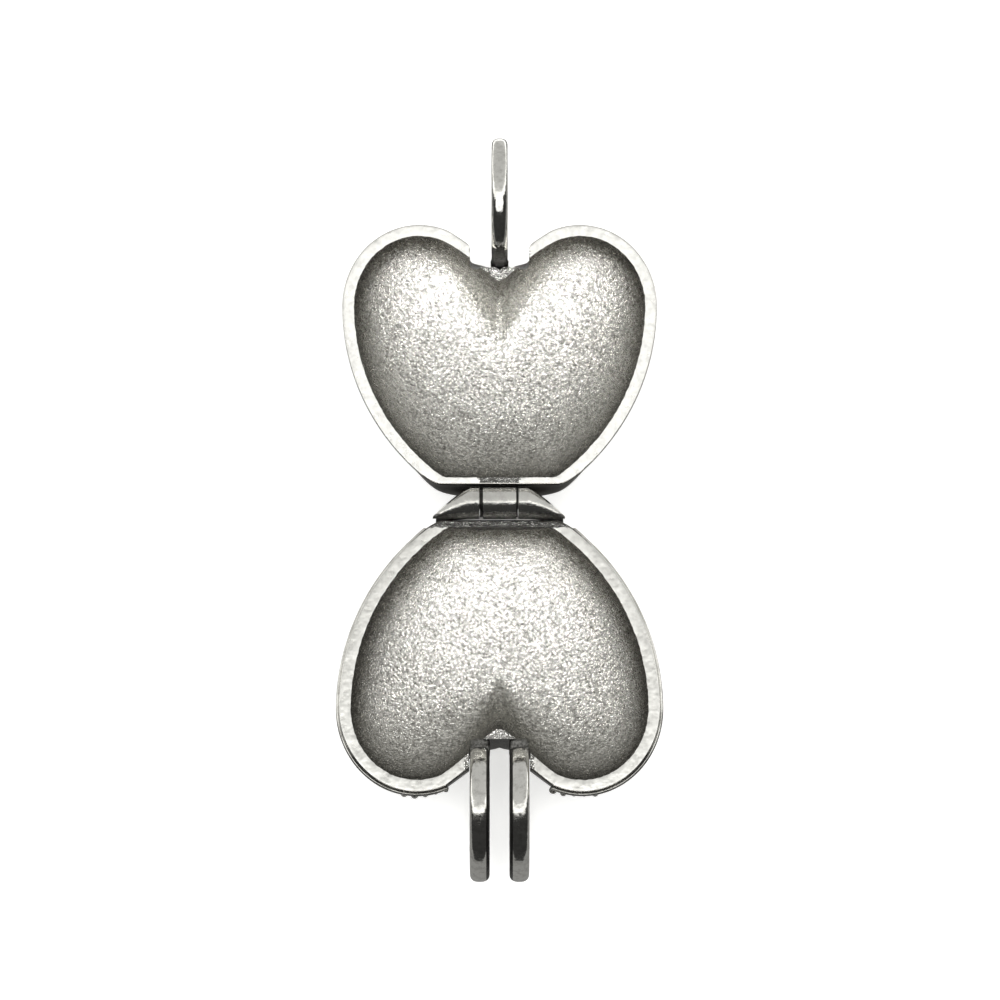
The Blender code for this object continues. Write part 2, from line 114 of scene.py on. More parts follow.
# Notch and ring feet.
NOTCH_DEPTH = 4.0 * MM
NOTCH_CORNER = 0.35 * MM
NOTCH_MOUTH = 0.55 * MM
RING_PASS_CLEARANCE = 0.11 * MM
FOOT_FLARE = 0.06 * MM
NOTCH_CLEARANCE = 0.02 * MM
SOLDER_GAP = 0.03 * MM
FOOT_DROP = 1.1 * MM
FOOT_EMBED = 0.7 * MM
FOOT_SIDES = {BACK: FOOT_FLARE, FRONT: 0.02 * MM}
FOOT_SINKS = {BACK: 0.0, FRONT: 0.08 * MM}
FOOT_TOPS = {BACK: -0.06 * MM, FRONT: -0.015 * MM}
FOOT_CORNERS = {BACK: 0.26 * MM, FRONT: 0.34 * MM}
SHADED_WIRE_REACHES = {BACK: 0.75 * MM, FRONT: 0.30 * MM}
RAGGED_POLISH = 0.18 * MM
INNER_CHEEK_LEAN = 0.55

# Hinge.
RIM_CLEARANCE = 0.08 * MM
KNUCKLE_GAP = 0.14 * MM
LEFT_GAP_EXTRA = 0.10 * MM
SIDE_KNUCKLE_STRAIGHT = 0.60 * MM
SIDE_KNUCKLE_TAPER = 2.65 * MM
TAPER_END_RADIUS = 0.08 * MM
PIN_CLEARANCE = 0.05 * MM
PIN_EMBED = 1.0 * MM
WEB_HEIGHT = 0.70 * MM
KNUCKLE_EDGE = 0.035 * MM
KNUCKLE_WAVE = 0.45 * MM
KNUCKLE_WAVE_HEIGHT = 0.006 * MM
BOSS_PULL = 4
BOSS_SHARE = 0.8
SHADED_FRONT_SHARE = 0.72
WEB_SOLDER_SHARE = 0.93
TAPER_POWER = 1.35

# Solder ledge below the knuckles, in near-black painted shadow; its heights are from the hinge axis.
LEDGE_HALF_WIDTH = 4.45 * MM
LEDGE_STAND_OFF = 0.30 * MM
LEDGE_BACK_SHARE = 0.80
LEDGE_HEIGHTS = (-1.55 * MM, -0.78 * MM)
LEDGE_CORNER = 0.12 * MM

# Ornament of the front.
BORDER_WIRE_DEPTH = 0.52 * MM
BEAD_DEPTH = 1.35 * MM
BEAD_COUNT = 5
BEAD_FIRST = math.radians(111)
BEAD_LAST = math.radians(80)
LOBE_SCROLL_SHIFT = (-0.18 * MM, 1.1 * MM)
LOBE_SCROLL_RADII = (2.4 * MM, 0.6 * MM)
TIP_SCROLL_CENTRE = (3.9 * MM, 5.7 * MM)
TIP_SCROLL_RADII = (1.8 * MM, 0.5 * MM)
# Where a scroll starts round its centre, and its number of turns.
LOBE_SCROLL_TURN = (math.radians(215), -1.35)
TIP_SCROLL_TURN = (math.radians(235), 1.20)
SCROLL_BALL_START = 0.93
BEAD_SIZE = 0.80
BEAD_SIZE_CHANGE = 0.22
BEAD_COLLAR_DEPTH = 0.45
BEAD_COLLAR_SPREAD = 0.55

# Fineness of the meshes.
TIP_POINTS = 26
CORNER_POINTS = 8
SIDE_POINTS = 100
LOBE_POINTS = 110
CLEFT_POINTS = 56
OUTER_LEVELS = 34
INNER_LEVELS = 46
EDGE_STEPS = 4
RING_STEPS = 160
SECTION_STEPS = 40
ROUND_STEPS = 72
MOUTH_STEPS = 12
NOTCH_STEPS = 10
BARREL_STEPS = 24
STRAIGHT_STEPS = 8
TAPER_STEPS = 40
SCROLL_STEPS = 110
SOFT_EDGE = math.radians(60)

# Material slots of a shell mesh.
INSIDE, RIM, OUTSIDE, GRAINY, PAINTED_RECESS_SHADE, BRIGHT_GRAIN = range(6)

# Material slots of a knuckle's mesh, after the satin one.
KNUCKLE_SHADE, WEB_SOLDER, GAP_SHADOW = range(1, 4)

# Grainy finishes: the share of the polished and of the darkened colour, the grain as a share of the cast
# grain, the height of its relief, the roughness of its grains and pits, and the strength of its dark spots.
GRAINY_FINISHES = {
    "grainy solder": (0.56, 0.35, 1.1, 0.190 * MM, (0.10, 0.28), 0.9),
    "bright grainy solder": (0.85, 0.50, 1.2, 0.120 * MM, (0.10, 0.28), 0.8),
    "dull solder": (0.36, 0.30, 1.2, 0.060 * MM, (0.24, 0.42), 0.9),
    # Near-black painted shade for the notch walls, the shadow line, the back ring's foot, the wires at their
    # feet, the knuckle gaps and the solder ledge.
    "painted recess shade": (0.07, 0.20, 1.0, 0.030 * MM, (0.30, 0.50), 0.8),
    # Painted shade for the knuckles' fronts and ends.
    "painted knuckle shade": (0.30, 0.30, 0.7, 0.040 * MM, (0.24, 0.44), 0.8),
}

# Stage. The world's stops are (place on the ramp, brightness); a light is its place, its target, its width
# and height, its strength and the pieces that it lights.
BAND_STRENGTH = 1.8
BAND_LEAN = (-0.06, 0.94, 0.35)
WORLD_STOPS = ((0.0, 0.02), (0.20, 0.025), (0.28, 0.85), (0.38, 0.85), (0.52, 0.34), (1.0, 0.30))
WORLD_TINT = (1.0, 0.995, 0.97, 1.0)
LOW_WORLD_DROP = -0.10
LOW_WORLD_STRENGTH = 0.28
AREA_LIGHTS = {
    "ring_softbox": ((0, 0.003, 0.072), (0, 0, 0), 0.090, 0.034, 3.4, ["back_ring_wire"]),
    "back_half_softbox": ((0, -0.105, 0.182), (0, 0.01, 0), 0.16, 0.060, 88.0, ["back_half"]),
    "front_half_softbox": ((0, -0.128, 0.172), (0, -0.01, 0), 0.22, 0.046, 72.0, ["front_half"]),
    "rear_softbox": ((0, 0.075, 0.190), (0, 0.01, 0), 0.12, 0.05, 3.0, ["back_half"]),
}
FLOOR_HALF_WIDTH = 0.6
FLOOR_DROP = 0.02 * MM
FLOOR_GLOW = 0.60
FLOOR_SUN_STRENGTH = 1.9
CAMERA_LEAN = math.radians(11.7)
CAMERA_DISTANCE = 0.250
CAMERA_FIELD = 0.0696
CAMERA_SENSOR = 36.0


def box_size(node, axis):
    low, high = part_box(node)
    return high[axis] - low[axis]


def length_property(name, description, default):
    return bpy.props.FloatProperty(
        name=name, description=description, default=default, min=0.00001, precision=5, unit="LENGTH"
    )


def colour_property(name, description, default):
    return bpy.props.FloatVectorProperty(
        name=name, description=description, default=default, size=3, min=0.0, max=1.0, subtype="COLOR"
    )


class LocketSizes(bpy.types.PropertyGroup):
    """Sizes of the locket, in metres."""

    half_width: length_property(
        "Half width", "From the middle to the widest place of the rim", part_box("back_shell")[1].x
    )
    lobe_radius: length_property("Lobe radius", "Radius across a lobe of the heart", 5.40 * MM)
    lobe_height: length_property("Lobe height", "From the hinge to the widest place", 14.30 * MM)
    rim_width: length_property("Rim width", "Width of the flat polished rim", 0.83 * MM)
    shell_depth: length_property(
        "Shell depth", "From the rim to the lowest point of a half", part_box("back_shell")[1].z
    )
    floor_thickness: length_property("Floor thickness", "Metal left under the bowl", 0.80 * MM)
    ring_radius: length_property(
        "Ring radius", "Outside radius of the bail rings", box_size("back_ring", 2) / 2
    )
    ring_thickness: length_property("Ring thickness", "Thickness in the ring's own plane", 1.05 * MM)
    back_ring_width: length_property("Back ring width", "Width of the single ring", 1.14 * MM)
    front_ring_width: length_property("Front ring width", "Width of each of the paired rings", 1.34 * MM)
    knuckle_radius: length_property(
        "Knuckle radius", "Radius of the hinge's barrels", box_size("left_knuckle", 2) / 2
    )
    centre_knuckle_width: length_property(
        "Centre knuckle width", "Length of the middle barrel", box_size("centre_knuckle", 0)
    )
    pin_radius: length_property("Pin radius", "Radius of the hinge pin", box_size("hinge_pin", 2) / 2)
    border_wire_radius: length_property("Border wire radius", "Radius of the wire under the rim", 0.13 * MM)
    scroll_wire_radius: length_property("Scroll wire radius", "Radius of a scroll's wire", 0.16 * MM)
    bead_radius: length_property("Bead radius", "Radius of the small beads", 0.27 * MM)
    grain_size: length_property("Grain size", "Size of the cast grain inside the bowls", 0.15 * MM)
    edge_radius: length_property("Edge radius", "Rounding of the rim's outer edge", 0.10 * MM)


class LocketColours(bpy.types.PropertyGroup):
    """Colours of the locket's metals and of the floor."""

    cast_metal: colour_property("Cast metal", "Grainy metal inside the bowls", (0.80, 0.79, 0.745))
    polished_metal: colour_property("Polished metal", "Rims, rings and knuckles", (0.84, 0.835, 0.80))
    pin_metal: colour_property("Pin metal", "Steel of the hinge pin", (0.62, 0.61, 0.58))
    # Serves tarnish, pits and stains, and also the painted shade of the bowls' upper walls and of the outer
    # walls by the hinge and the rings.
    tarnish_and_shade_metal: colour_property("Darkened metal", "Tarnish in the low places", (0.20, 0.19, 0.17))
    floor: colour_property("Floor", "The pale floor under the locket", (0.92, 0.92, 0.91))


def sizes():
    return bpy.context.scene.locket_sizes


def colours():
    return bpy.context.scene.locket_colours


def tip_of(side):
    return sizes().knuckle_radius + TIP_GAPS[side]


def lobe_top():
    return sizes().lobe_height + sizes().lobe_radius * LOBE_STRETCH


def lobe_x():
    return sizes().half_width - sizes().lobe_radius


def cleft_of(side):
    return lobe_top() - CLEFT_DEPTHS[side]


def notch_floor(side):
    return lobe_top() - NOTCH_REACHES[side]


def ring_gap():
    return sizes().back_ring_width + 2 * RING_PASS_CLEARANCE


def notch_half_width():
    return ring_gap() / 2 + sizes().front_ring_width + FOOT_FLARE + NOTCH_CLEARANCE


def ring_centre():
    return notch_floor(BACK) + SOLDER_GAP + sizes().ring_radius


def axis_height():
    return sizes().shell_depth + RIM_CLEARANCE / 2


# ---------------------------------------------------------------- shapes


def arc(start, end, count):
    """Angles from start towards end, without the last one."""
    return [start + (end - start) * i / count for i in range(count)]


def quadratic(a, b, c, t):
    return tuple(a[k] * (1 - t) ** 2 + b[k] * 2 * t * (1 - t) + c[k] * t * t for k in range(len(a)))


def half_outline(inset, tip, cleft):
    """The right side of the heart, from the middle of the tip to the bottom of the cleft."""
    s = sizes()
    front_tip = tip_of(FRONT)
    side_inset = s.half_width - TIP_HALF_WIDTH
    full_radius = ((s.lobe_height - front_tip) ** 2 + side_inset**2) / (2 * side_inset)
    across = s.lobe_radius - inset
    along = s.lobe_radius * LOBE_STRETCH - inset
    side_x = s.half_width - full_radius
    side_radius = full_radius - inset
    corner = max(TIP_CORNER - inset * 0.5, TIP_CORNER * 0.25)
    low_angle = math.asin((tip + corner - s.lobe_height) / side_radius)
    tip_angle = math.asin((tip - s.lobe_height) / side_radius)
    tip_x = side_x + side_radius * math.cos(tip_angle)
    low_point = (side_x + side_radius * math.cos(low_angle), tip + corner)
    points = [((tip_x - corner) * i / TIP_POINTS, tip) for i in range(TIP_POINTS)]
    for i in range(CORNER_POINTS):
        points.append(quadratic((tip_x - corner, tip), (tip_x, tip), low_point, i / CORNER_POINTS))
    for angle in arc(low_angle, 0, SIDE_POINTS):
        x, y = side_x + side_radius * math.cos(angle), s.lobe_height + side_radius * math.sin(angle)
        points.append((x, y))
    for angle in arc(0, LOBE_SWEEP, LOBE_POINTS):
        points.append((lobe_x() + across * math.cos(angle), s.lobe_height + along * math.sin(angle)))
    shoulder = (lobe_x() + across * math.cos(LOBE_SWEEP), s.lobe_height + along * math.sin(LOBE_SWEEP))
    bend_x = shoulder[0] * 0.5
    bend = (bend_x, cleft + bend_x * math.tan(CLEFT_SLOPE))
    for i in range(CLEFT_POINTS):
        points.append(quadratic(shoulder, bend, (0.0, cleft), i / CLEFT_POINTS))
    points.append((0.0, cleft))
    return points


def heart_outline(inset, tip, cleft, round_cleft=0.0):
    """The whole heart; round_cleft takes the point off the cleft."""
    right = half_outline(inset, tip, cleft)
    if round_cleft:
        limit = right[-1 - CLEFT_POINTS][0]
        for i in range(len(right) - 1 - CLEFT_POINTS, len(right)):
            x, y = right[i]
            flatter = math.hypot(x, round_cleft) - round_cleft - x
            right[i] = (x, y + math.tan(CLEFT_SLOPE) * flatter * (1 - x / limit) ** 1.5)
    left = [(-x, y) for x, y in reversed(right[1:-1])]
    return right + left


def dome_centre():
    return sizes().lobe_height - DOME_SETBACK


def dome_point(point, tip, level, depth, fullness, bulge, cleft_fade=CLEFT_FADE, ridge=0.0):
    """A rim point carried down the dome: level 0 is the rim and 1 is the lowest point."""
    centre = dome_centre()
    turn = level * math.pi / 2
    bearing = math.atan2(point[0], point[1] - centre)
    fullness -= ridge * math.exp(-(bearing / RIDGE_SPREAD) ** 2)
    shrink = max(math.cos(turn), 0.0) ** (2 / fullness)
    drop = math.sin(turn) ** (2 / fullness)
    x, y = point[0], point[1] - centre
    length = math.hypot(x, y)
    towards_tip = (1 - y / length) / 2
    rounding = ROUND_SHARE * drop ** (cleft_fade + (TIP_FADE - cleft_fade) * towards_tip)
    upright = centre - tip if y < 0 else ROUND_HEIGHT
    oval = length / math.hypot(x / ROUND_HALF_WIDTH, y / upright)
    reach = length + (oval - length) * rounding
    swell = math.sin(min(drop * depth / BULGE_DEPTH, 2.0) * math.pi / 2) ** 2
    off_middle = x / (TIP_SWELL_SHARE * sizes().half_width)
    tipness = max(0.0, 1 - off_middle**4) if point[1] < 3 * tip else 0.0
    reach = (reach + bulge * swell) * shrink
    outward = bulge / WALL_BULGE * TIP_BULGE * tipness * swell * shrink
    return Vector((x / length * reach, centre + y / length * reach - outward, -drop * depth))


def wall_level(drop, depth, fullness):
    """The level at which the dome has gone down by drop."""
    return math.asin((drop / depth) ** (fullness / 2)) * 2 / math.pi


def bridge(shape, lower, upper, material=0):
    count = len(lower)
    for i in range(count):
        j = (i + 1) % count
        face = shape.faces.new((lower[i], lower[j], upper[j], upper[i]))
        face.material_index = material


def join_loops(shape, loops, material=0):
    for first, second in zip(loops, loops[1:]):
        bridge(shape, first, second, material)


def close_bar(shape, loops):
    """Joins loops in their order and closes both ends with a flat face."""
    join_loops(shape, loops)
    shape.faces.new(loops[0])
    shape.faces.new(loops[-1])


def add_loop(shape, points):
    return [shape.verts.new(p) for p in points]


def close_dome(shape, loop, depth, material):
    pole = shape.verts.new((0.0, dome_centre(), -depth))
    for i, vertex in enumerate(loop):
        face = shape.faces.new((vertex, loop[(i + 1) % len(loop)], pole))
        face.material_index = material


def place_half(shape, side):
    """Puts a half drawn towards +Y, with its rim at z = 0, on its own side of the hinge."""
    turn = Matrix.Rotation(0 if side == BACK else math.pi, 4, "Z")
    lift = Matrix.Translation((0, 0, sizes().shell_depth))
    bmesh.ops.transform(shape, matrix=lift @ turn, verts=shape.verts)


def piece_from(name, shape, materials, sharp=math.radians(40)):
    """One object from a bmesh, with its faces turned outwards."""
    bmesh.ops.recalc_face_normals(shape, faces=shape.faces)
    mesh = bpy.data.meshes.new(name)
    shape.to_mesh(mesh)
    shape.free()
    mesh.shade_smooth()
    mesh.set_sharp_from_angle(angle=sharp)
    for material in materials:
        mesh.materials.append(material)
    piece = bpy.data.objects.new(name, mesh)
    bpy.context.scene.collection.objects.link(piece)
    return piece


def cut(piece, tool, sharp=math.radians(40)):
    """Cuts tool out of piece, keeps the result as the mesh and deletes the tool."""
    step = piece.modifiers.new("cut", "BOOLEAN")
    step.operation = "DIFFERENCE"
    step.object = tool
    step.solver = "EXACT"
    bpy.context.view_layer.update()
    graph = bpy.context.evaluated_depsgraph_get()
    mesh = bpy.data.meshes.new_from_object(piece.evaluated_get(graph))
    piece.modifiers.clear()
    old = piece.data
    piece.data = mesh
    mesh.name = piece.name
    bpy.data.meshes.remove(old)
    bpy.data.objects.remove(tool, do_unlink=True)
    mesh.set_sharp_from_angle(angle=sharp)


def roughen(shape, wave, height, seed):
    """Moves every vertex along its normal by smooth noise."""
    shape.normal_update()
    offset = Vector((seed, seed * 0.7, seed * 1.3))
    moves = []
    for vertex in shape.verts:
        amount = noise.fractal(vertex.co / wave + offset, 1.0, 2.0, 3) * height
        moves.append((vertex, vertex.normal * amount))
    for vertex, move in moves:
        vertex.co += move


# ---------------------------------------------------------------- finishes


class NodeSheet:
    """A short way to add nodes to a material or to the world."""

    def __init__(self, owner, shader="Principled BSDF", coordinates="Object"):
        owner.use_nodes = True
        self.tree = owner.node_tree
        self.shader = self.tree.nodes[shader]
        self.place = self.add("ShaderNodeTexCoord").outputs[coordinates]

    def add(self, kind, **settings):
        node = self.tree.nodes.new(kind)
        for name, value in settings.items():
            setattr(node, name, value)
        return node

    def link(self, output, socket):
        self.tree.links.new(output, socket)

    def noise(self, size, detail=2.0, rough=0.55, stretch=(1, 1, 1), turn=0.0):
        place = self.place
        if stretch != (1, 1, 1) or turn:
            mapping = self.add("ShaderNodeMapping")
            mapping.inputs["Rotation"].default_value = (0, 0, turn)
            mapping.inputs["Scale"].default_value = stretch
            self.link(place, mapping.inputs["Vector"])
            place = mapping.outputs["Vector"]
        node = self.add("ShaderNodeTexNoise")
        node.inputs["Scale"].default_value = 1 / size
        node.inputs["Detail"].default_value = detail
        node.inputs["Roughness"].default_value = rough
        self.link(place, node.inputs["Vector"])
        return node.outputs["Fac"]

    def axes(self):
        """X, Y and Z of the place, as separate outputs."""
        node = self.add("ShaderNodeSeparateXYZ")
        self.link(self.place, node.inputs[0])
        return node.outputs

    def cells(self, size):
        node = self.add("ShaderNodeTexVoronoi", feature="F1")
        node.inputs["Scale"].default_value = 1 / size
        self.link(self.place, node.inputs["Vector"])
        return node.outputs["Distance"]

    def math(self, operation, a, b):
        node = self.add("ShaderNodeMath", operation=operation)
        for socket, value in zip(node.inputs, (a, b)):
            if isinstance(value, (int, float)):
                socket.default_value = value
            else:
                self.link(value, socket)
        return node.outputs[0]

    def span(self, value, low, high, to_low, to_high, curve="LINEAR"):
        node = self.add("ShaderNodeMapRange", clamp=True, interpolation_type=curve)
        for name, number in (("From Min", low), ("From Max", high), ("To Min", to_low), ("To Max", to_high)):
            node.inputs[name].default_value = number
        self.link(value, node.inputs["Value"])
        return node.outputs["Result"]

    def blend(self, factor, first, second):
        node = self.add("ShaderNodeMix", data_type="RGBA")
        self.link(factor, node.inputs["Factor"])
        node.inputs[6].default_value = (*first, 1.0)
        node.inputs[7].default_value = (*second, 1.0)
        return node.outputs[2]

    def bump(self, height, distance, before=None):
        node = self.add("ShaderNodeBump")
        node.inputs["Strength"].default_value = 1.0
        node.inputs["Distance"].default_value = distance
        self.link(height, node.inputs["Height"])
        if before:
            self.link(before, node.inputs["Normal"])
        return node.outputs["Normal"]


def shade(colour, factor):
    return tuple(c * factor for c in colour)


def new_metal(name):
    """The material of that name, and a sheet to draw it on if it is new."""
    material = bpy.data.materials.get(name)
    if material:
        return material, None
    material = bpy.data.materials.new(name)
    sheet = NodeSheet(material)
    sheet.shader.inputs["Metallic"].default_value = 1.0
    return material, sheet


def grainy_metal(name, colour, dark, size, height, rough, speck, shadow=None):
    """Blasted cast metal: rounded grains with pits between them and small changes of gloss.

    shadow is (low, high, share): painted shade that darkens the metal from height low up to height high, mixed
    with the pits.
    """
    material, sheet = new_metal(name)
    if sheet is None:
        return material
    fine = sheet.noise(size, 4.0, 0.68)
    broad = sheet.noise(size * 9, 2.0)
    cells = sheet.cells(size * 0.95)
    relief = sheet.math("SUBTRACT", fine, sheet.math("MULTIPLY", cells, 0.75))
    sheet.link(sheet.bump(relief, height), sheet.shader.inputs["Normal"])
    spots = sheet.span(sheet.noise(size * 1.5, 1.0, 0.5), 0.38, 0.58, speck * 0.62, 0.0)
    pits = sheet.math("MAXIMUM", sheet.span(fine, 0.30, 0.50, speck, 0.0), spots)
    patches = sheet.math("ADD", pits, sheet.span(broad, 0.35, 0.75, 0.0, 0.16))
    # Painted shade, darker towards height high.
    if shadow:
        low, high, share = shadow
        painted_shade = sheet.span(sheet.axes()["Z"], low, high, 0.0, share)
        painted_shade = sheet.math("ADD", painted_shade, sheet.math("MULTIPLY", pits, 0.5))
        patches = sheet.math("MAXIMUM", patches, painted_shade)
    sheet.link(sheet.blend(patches, colour, dark), sheet.shader.inputs["Base Color"])
    sheet.link(sheet.span(fine, 0.35, 0.65, rough[1], rough[0]), sheet.shader.inputs["Roughness"])
    return material


def polished_metal(name, colour, dark, rough, scratch, wave):
    """Hand-polished metal: hairline scratches two ways, soft waves and a few dull patches."""
    material, sheet = new_metal(name)
    if sheet is None:
        return material
    first = sheet.noise(0.09 * MM, 1.0, 0.5, (0.06, 1.0, 0.5), 0.5)
    second = sheet.noise(0.07 * MM, 1.0, 0.5, (1.0, 0.05, 0.5), -0.35)
    soft = sheet.noise(0.8 * MM, 2.0)
    marks = sheet.math("ADD", first, second)
    normal = sheet.bump(marks, scratch)
    normal = sheet.bump(soft, wave, normal)
    sheet.link(normal, sheet.shader.inputs["Normal"])
    dull = sheet.span(soft, 0.35, 0.70, rough[0], rough[1])
    worn = sheet.math("ADD", dull, sheet.span(marks, 1.05, 1.35, 0.0, 0.10))
    sheet.link(worn, sheet.shader.inputs["Roughness"])
    stain = sheet.span(sheet.noise(0.5 * MM, 4.0, 0.65), 0.45, 0.75, 0.0, 0.45)
    sheet.link(sheet.blend(stain, colour, dark), sheet.shader.inputs["Base Color"])
    return material


def satin_metal(name, colour, dark, size, height, rough=(0.22, 0.36), stain=0.35, tarnish_and_shade=None):
    """Brushed-down metal with a fine skin: outer walls and knuckles."""
    material, sheet = new_metal(name)
    if sheet is None:
        return material
    fine = sheet.noise(size, 2.0, 0.6)
    broad = sheet.noise(1.4 * MM, 4.0, 0.6)
    lines = sheet.noise(0.07 * MM, 1.0, 0.5, (1.0, 0.05, 0.4), 0.2)
    relief = sheet.math("ADD", fine, sheet.math("MULTIPLY", lines, 0.25))
    sheet.link(sheet.bump(relief, height), sheet.shader.inputs["Normal"])
    sheet.link(sheet.span(broad, 0.35, 0.70, rough[0], rough[1]), sheet.shader.inputs["Roughness"])
    amount = sheet.span(broad, 0.42, 0.80, 0.0, stain)
    if tarnish_and_shade:
        amount = sheet.math("MAXIMUM", amount, tarnish_and_shade(sheet))
    sheet.link(sheet.blend(amount, colour, dark), sheet.shader.inputs["Base Color"])
    return material


def cast_finish():
    c = colours()
    # The last entry paints shade on the bowls' upper walls, darkest at the rim.
    return grainy_metal(
        "blasted cast metal", shade(c.cast_metal, 0.95), shade(c.tarnish_and_shade_metal, 0.6), sizes().grain_size,
        0.066 * MM, (0.20, 0.34), 1.0, (2.0 * MM, 5.0 * MM, 0.94)
    )


def worked_finish(name):
    """One of the grainy finishes: of soldered metal, or the painted shade of recesses, gaps and knuckles."""
    share, dark_share, grain_share, height, rough, speck = GRAINY_FINISHES[name]
    c = colours()
    metal, dark = shade(c.polished_metal, share), shade(c.tarnish_and_shade_metal, dark_share)
    return grainy_metal(name, metal, dark, sizes().grain_size * grain_share, height, rough, speck)


def rim_finish():
    metal = colours().polished_metal
    return polished_metal(
        "hand-polished rim", shade(metal, 0.95), shade(metal, 0.45), (0.26, 0.42), 0.0020 * MM, 0.060 * MM
    )


def ring_finish():
    c = colours()
    return polished_metal(
        "polished wire", tuple(c.polished_metal), tuple(c.tarnish_and_shade_metal), (0.09, 0.16), 0.0012 * MM, 0.030 * MM
    )


def wall_tarnish_and_shade(sheet):
    """Dark round the hinge and under the front rim beside the rings: partly tarnish where a polishing wheel
    can't reach, partly painted shade in these recesses.
    """
    axes = sheet.axes()
    along = axes["Y"]
    up = sheet.math("SUBTRACT", axes["Z"], axis_height())
    wander = sheet.math("MULTIPLY", sheet.noise(0.7 * MM, 4.0, 0.6), 1.4 * MM)
    squares = sheet.math("ADD", sheet.math("MULTIPLY", along, along), sheet.math("MULTIPLY", up, up))
    away = sheet.math("ADD", sheet.math("POWER", squares, 0.5), wander)
    hinge = sheet.span(away, 2.6 * MM, 3.9 * MM, 0.96, 0.0)
    forward = sheet.span(sheet.math("ADD", along, wander), -16.9 * MM, -15.9 * MM, 0.96, 0.0)
    high = sheet.span(sheet.math("SUBTRACT", up, wander), -3.4 * MM, -2.4 * MM, 0.0, 1.0)
    return sheet.math("MAXIMUM", hinge, sheet.math("MULTIPLY", forward, high))


def wall_finish():
    c = colours()
    return satin_metal(
        "satin outer wall", tuple(c.polished_metal), shade(c.tarnish_and_shade_metal, 0.30), 0.35 * MM, 0.004 * MM,
        (0.22, 0.36), 0.22, wall_tarnish_and_shade
    )


def knuckle_finish():
    c = colours()
    return satin_metal(
        "satin knuckle", tuple(c.polished_metal), tuple(c.tarnish_and_shade_metal), 0.20 * MM, 0.018 * MM, (0.16, 0.26)
    )


def pin_finish():
    c = colours()
    return satin_metal("drawn pin steel", tuple(c.pin_metal), tuple(c.tarnish_and_shade_metal), 0.15 * MM, 0.003 * MM)


def relief_finish():
    c = colours()
    return satin_metal(
        "rubbed relief", tuple(c.polished_metal), tuple(c.tarnish_and_shade_metal), 0.12 * MM, 0.006 * MM,
        (0.14, 0.30), 0.8
    )


# ---------------------------------------------------------------- pieces


def shell_shape(side):
    """A half as one closed mesh: dome, grooved wall, rounded edge, rim and bowl."""
    s = sizes()
    tip, cleft = tip_of(side), cleft_of(side)
    radius = s.edge_radius
    shape = bmesh.new()
    outline = heart_outline(0.0, tip, cleft)
    rim_side = []
    for step in range(EDGE_STEPS + 1):
        angle = math.pi / 2 * step / EDGE_STEPS
        inset = radius * (1 - math.cos(angle))
        ring = heart_outline(inset, tip + inset, cleft - inset)
        rim_side.append([Vector((x, y, -radius * (1 - math.sin(angle)))) for x, y in ring])
    rim_side.reverse()
    wall = []
    for drop, inset in GROOVE:
        level = wall_level(drop, s.shell_depth, OUTER_FULLNESS)
        loop = [dome_point(p, tip, level, s.shell_depth, OUTER_FULLNESS, WALL_BULGE) for p in outline]
        inner = heart_outline(inset, tip + inset, cleft - inset)
        loop = [q + Vector((b[0] - a[0], b[1] - a[1], 0)) for q, a, b in zip(loop, outline, inner)]
        wall.append(loop)
    start = wall_level(BELOW_GROOVE, s.shell_depth, OUTER_FULLNESS)
    for step in range(OUTER_LEVELS):
        level = start + (1 - start) * (step / OUTER_LEVELS) ** 1.15
        wall.append([dome_point(p, tip, level, s.shell_depth, OUTER_FULLNESS, WALL_BULGE) for p in outline])
    loops = [add_loop(shape, points) for points in rim_side + wall]
    for upper, lower in zip(loops, loops[1:]):
        bridge(shape, lower, upper, OUTSIDE)
    close_dome(shape, loops[-1], s.shell_depth, OUTSIDE)

    inner_tip, inner_cleft = tip + TIP_WALL, cleft - CLEFT_WALL
    inner_outline = heart_outline(s.rim_width, inner_tip, inner_cleft, CLEFT_ROUNDINGS[side])
    rim_loops = [loops[0]]
    outer_ring = rim_side[0]
    inner_ring = [Vector((x, y, 0)) for x, y in inner_outline]
    for share in RIM_SHARES:
        points = [a.lerp(b, share) for a, b in zip(outer_ring, inner_ring)]
        rim_loops.append(add_loop(shape, points))
    edge = [p + Vector((0, 0, -BOWL_EDGE_DROP)) for p in inner_ring]
    rim_loops.append(add_loop(shape, edge))
    join_loops(shape, rim_loops, RIM)
    inner_depth = s.shell_depth - s.floor_thickness
    bowl = [rim_loops[-1]]
    for step in range(1, INNER_LEVELS):
        level = (step / INNER_LEVELS) ** 1.25
        points = [
            dome_point(p, inner_tip, level, inner_depth, INNER_FULLNESS, 0.0, INNER_CLEFT_FADE, RIDGE_DROP)
            for p in inner_outline
        ]
        bowl.append(add_loop(shape, points))
    join_loops(shape, bowl, INSIDE)
    close_dome(shape, bowl[-1], inner_depth, INSIDE)
    bmesh.ops.recalc_face_normals(shape, faces=shape.faces)
    roughen_shell(shape, bowl, rim_loops, side)
    if side == FRONT:
        paint_shadow_line(shape, tip)
    mark_grainy_rim(shape, side, tip)
    return shape


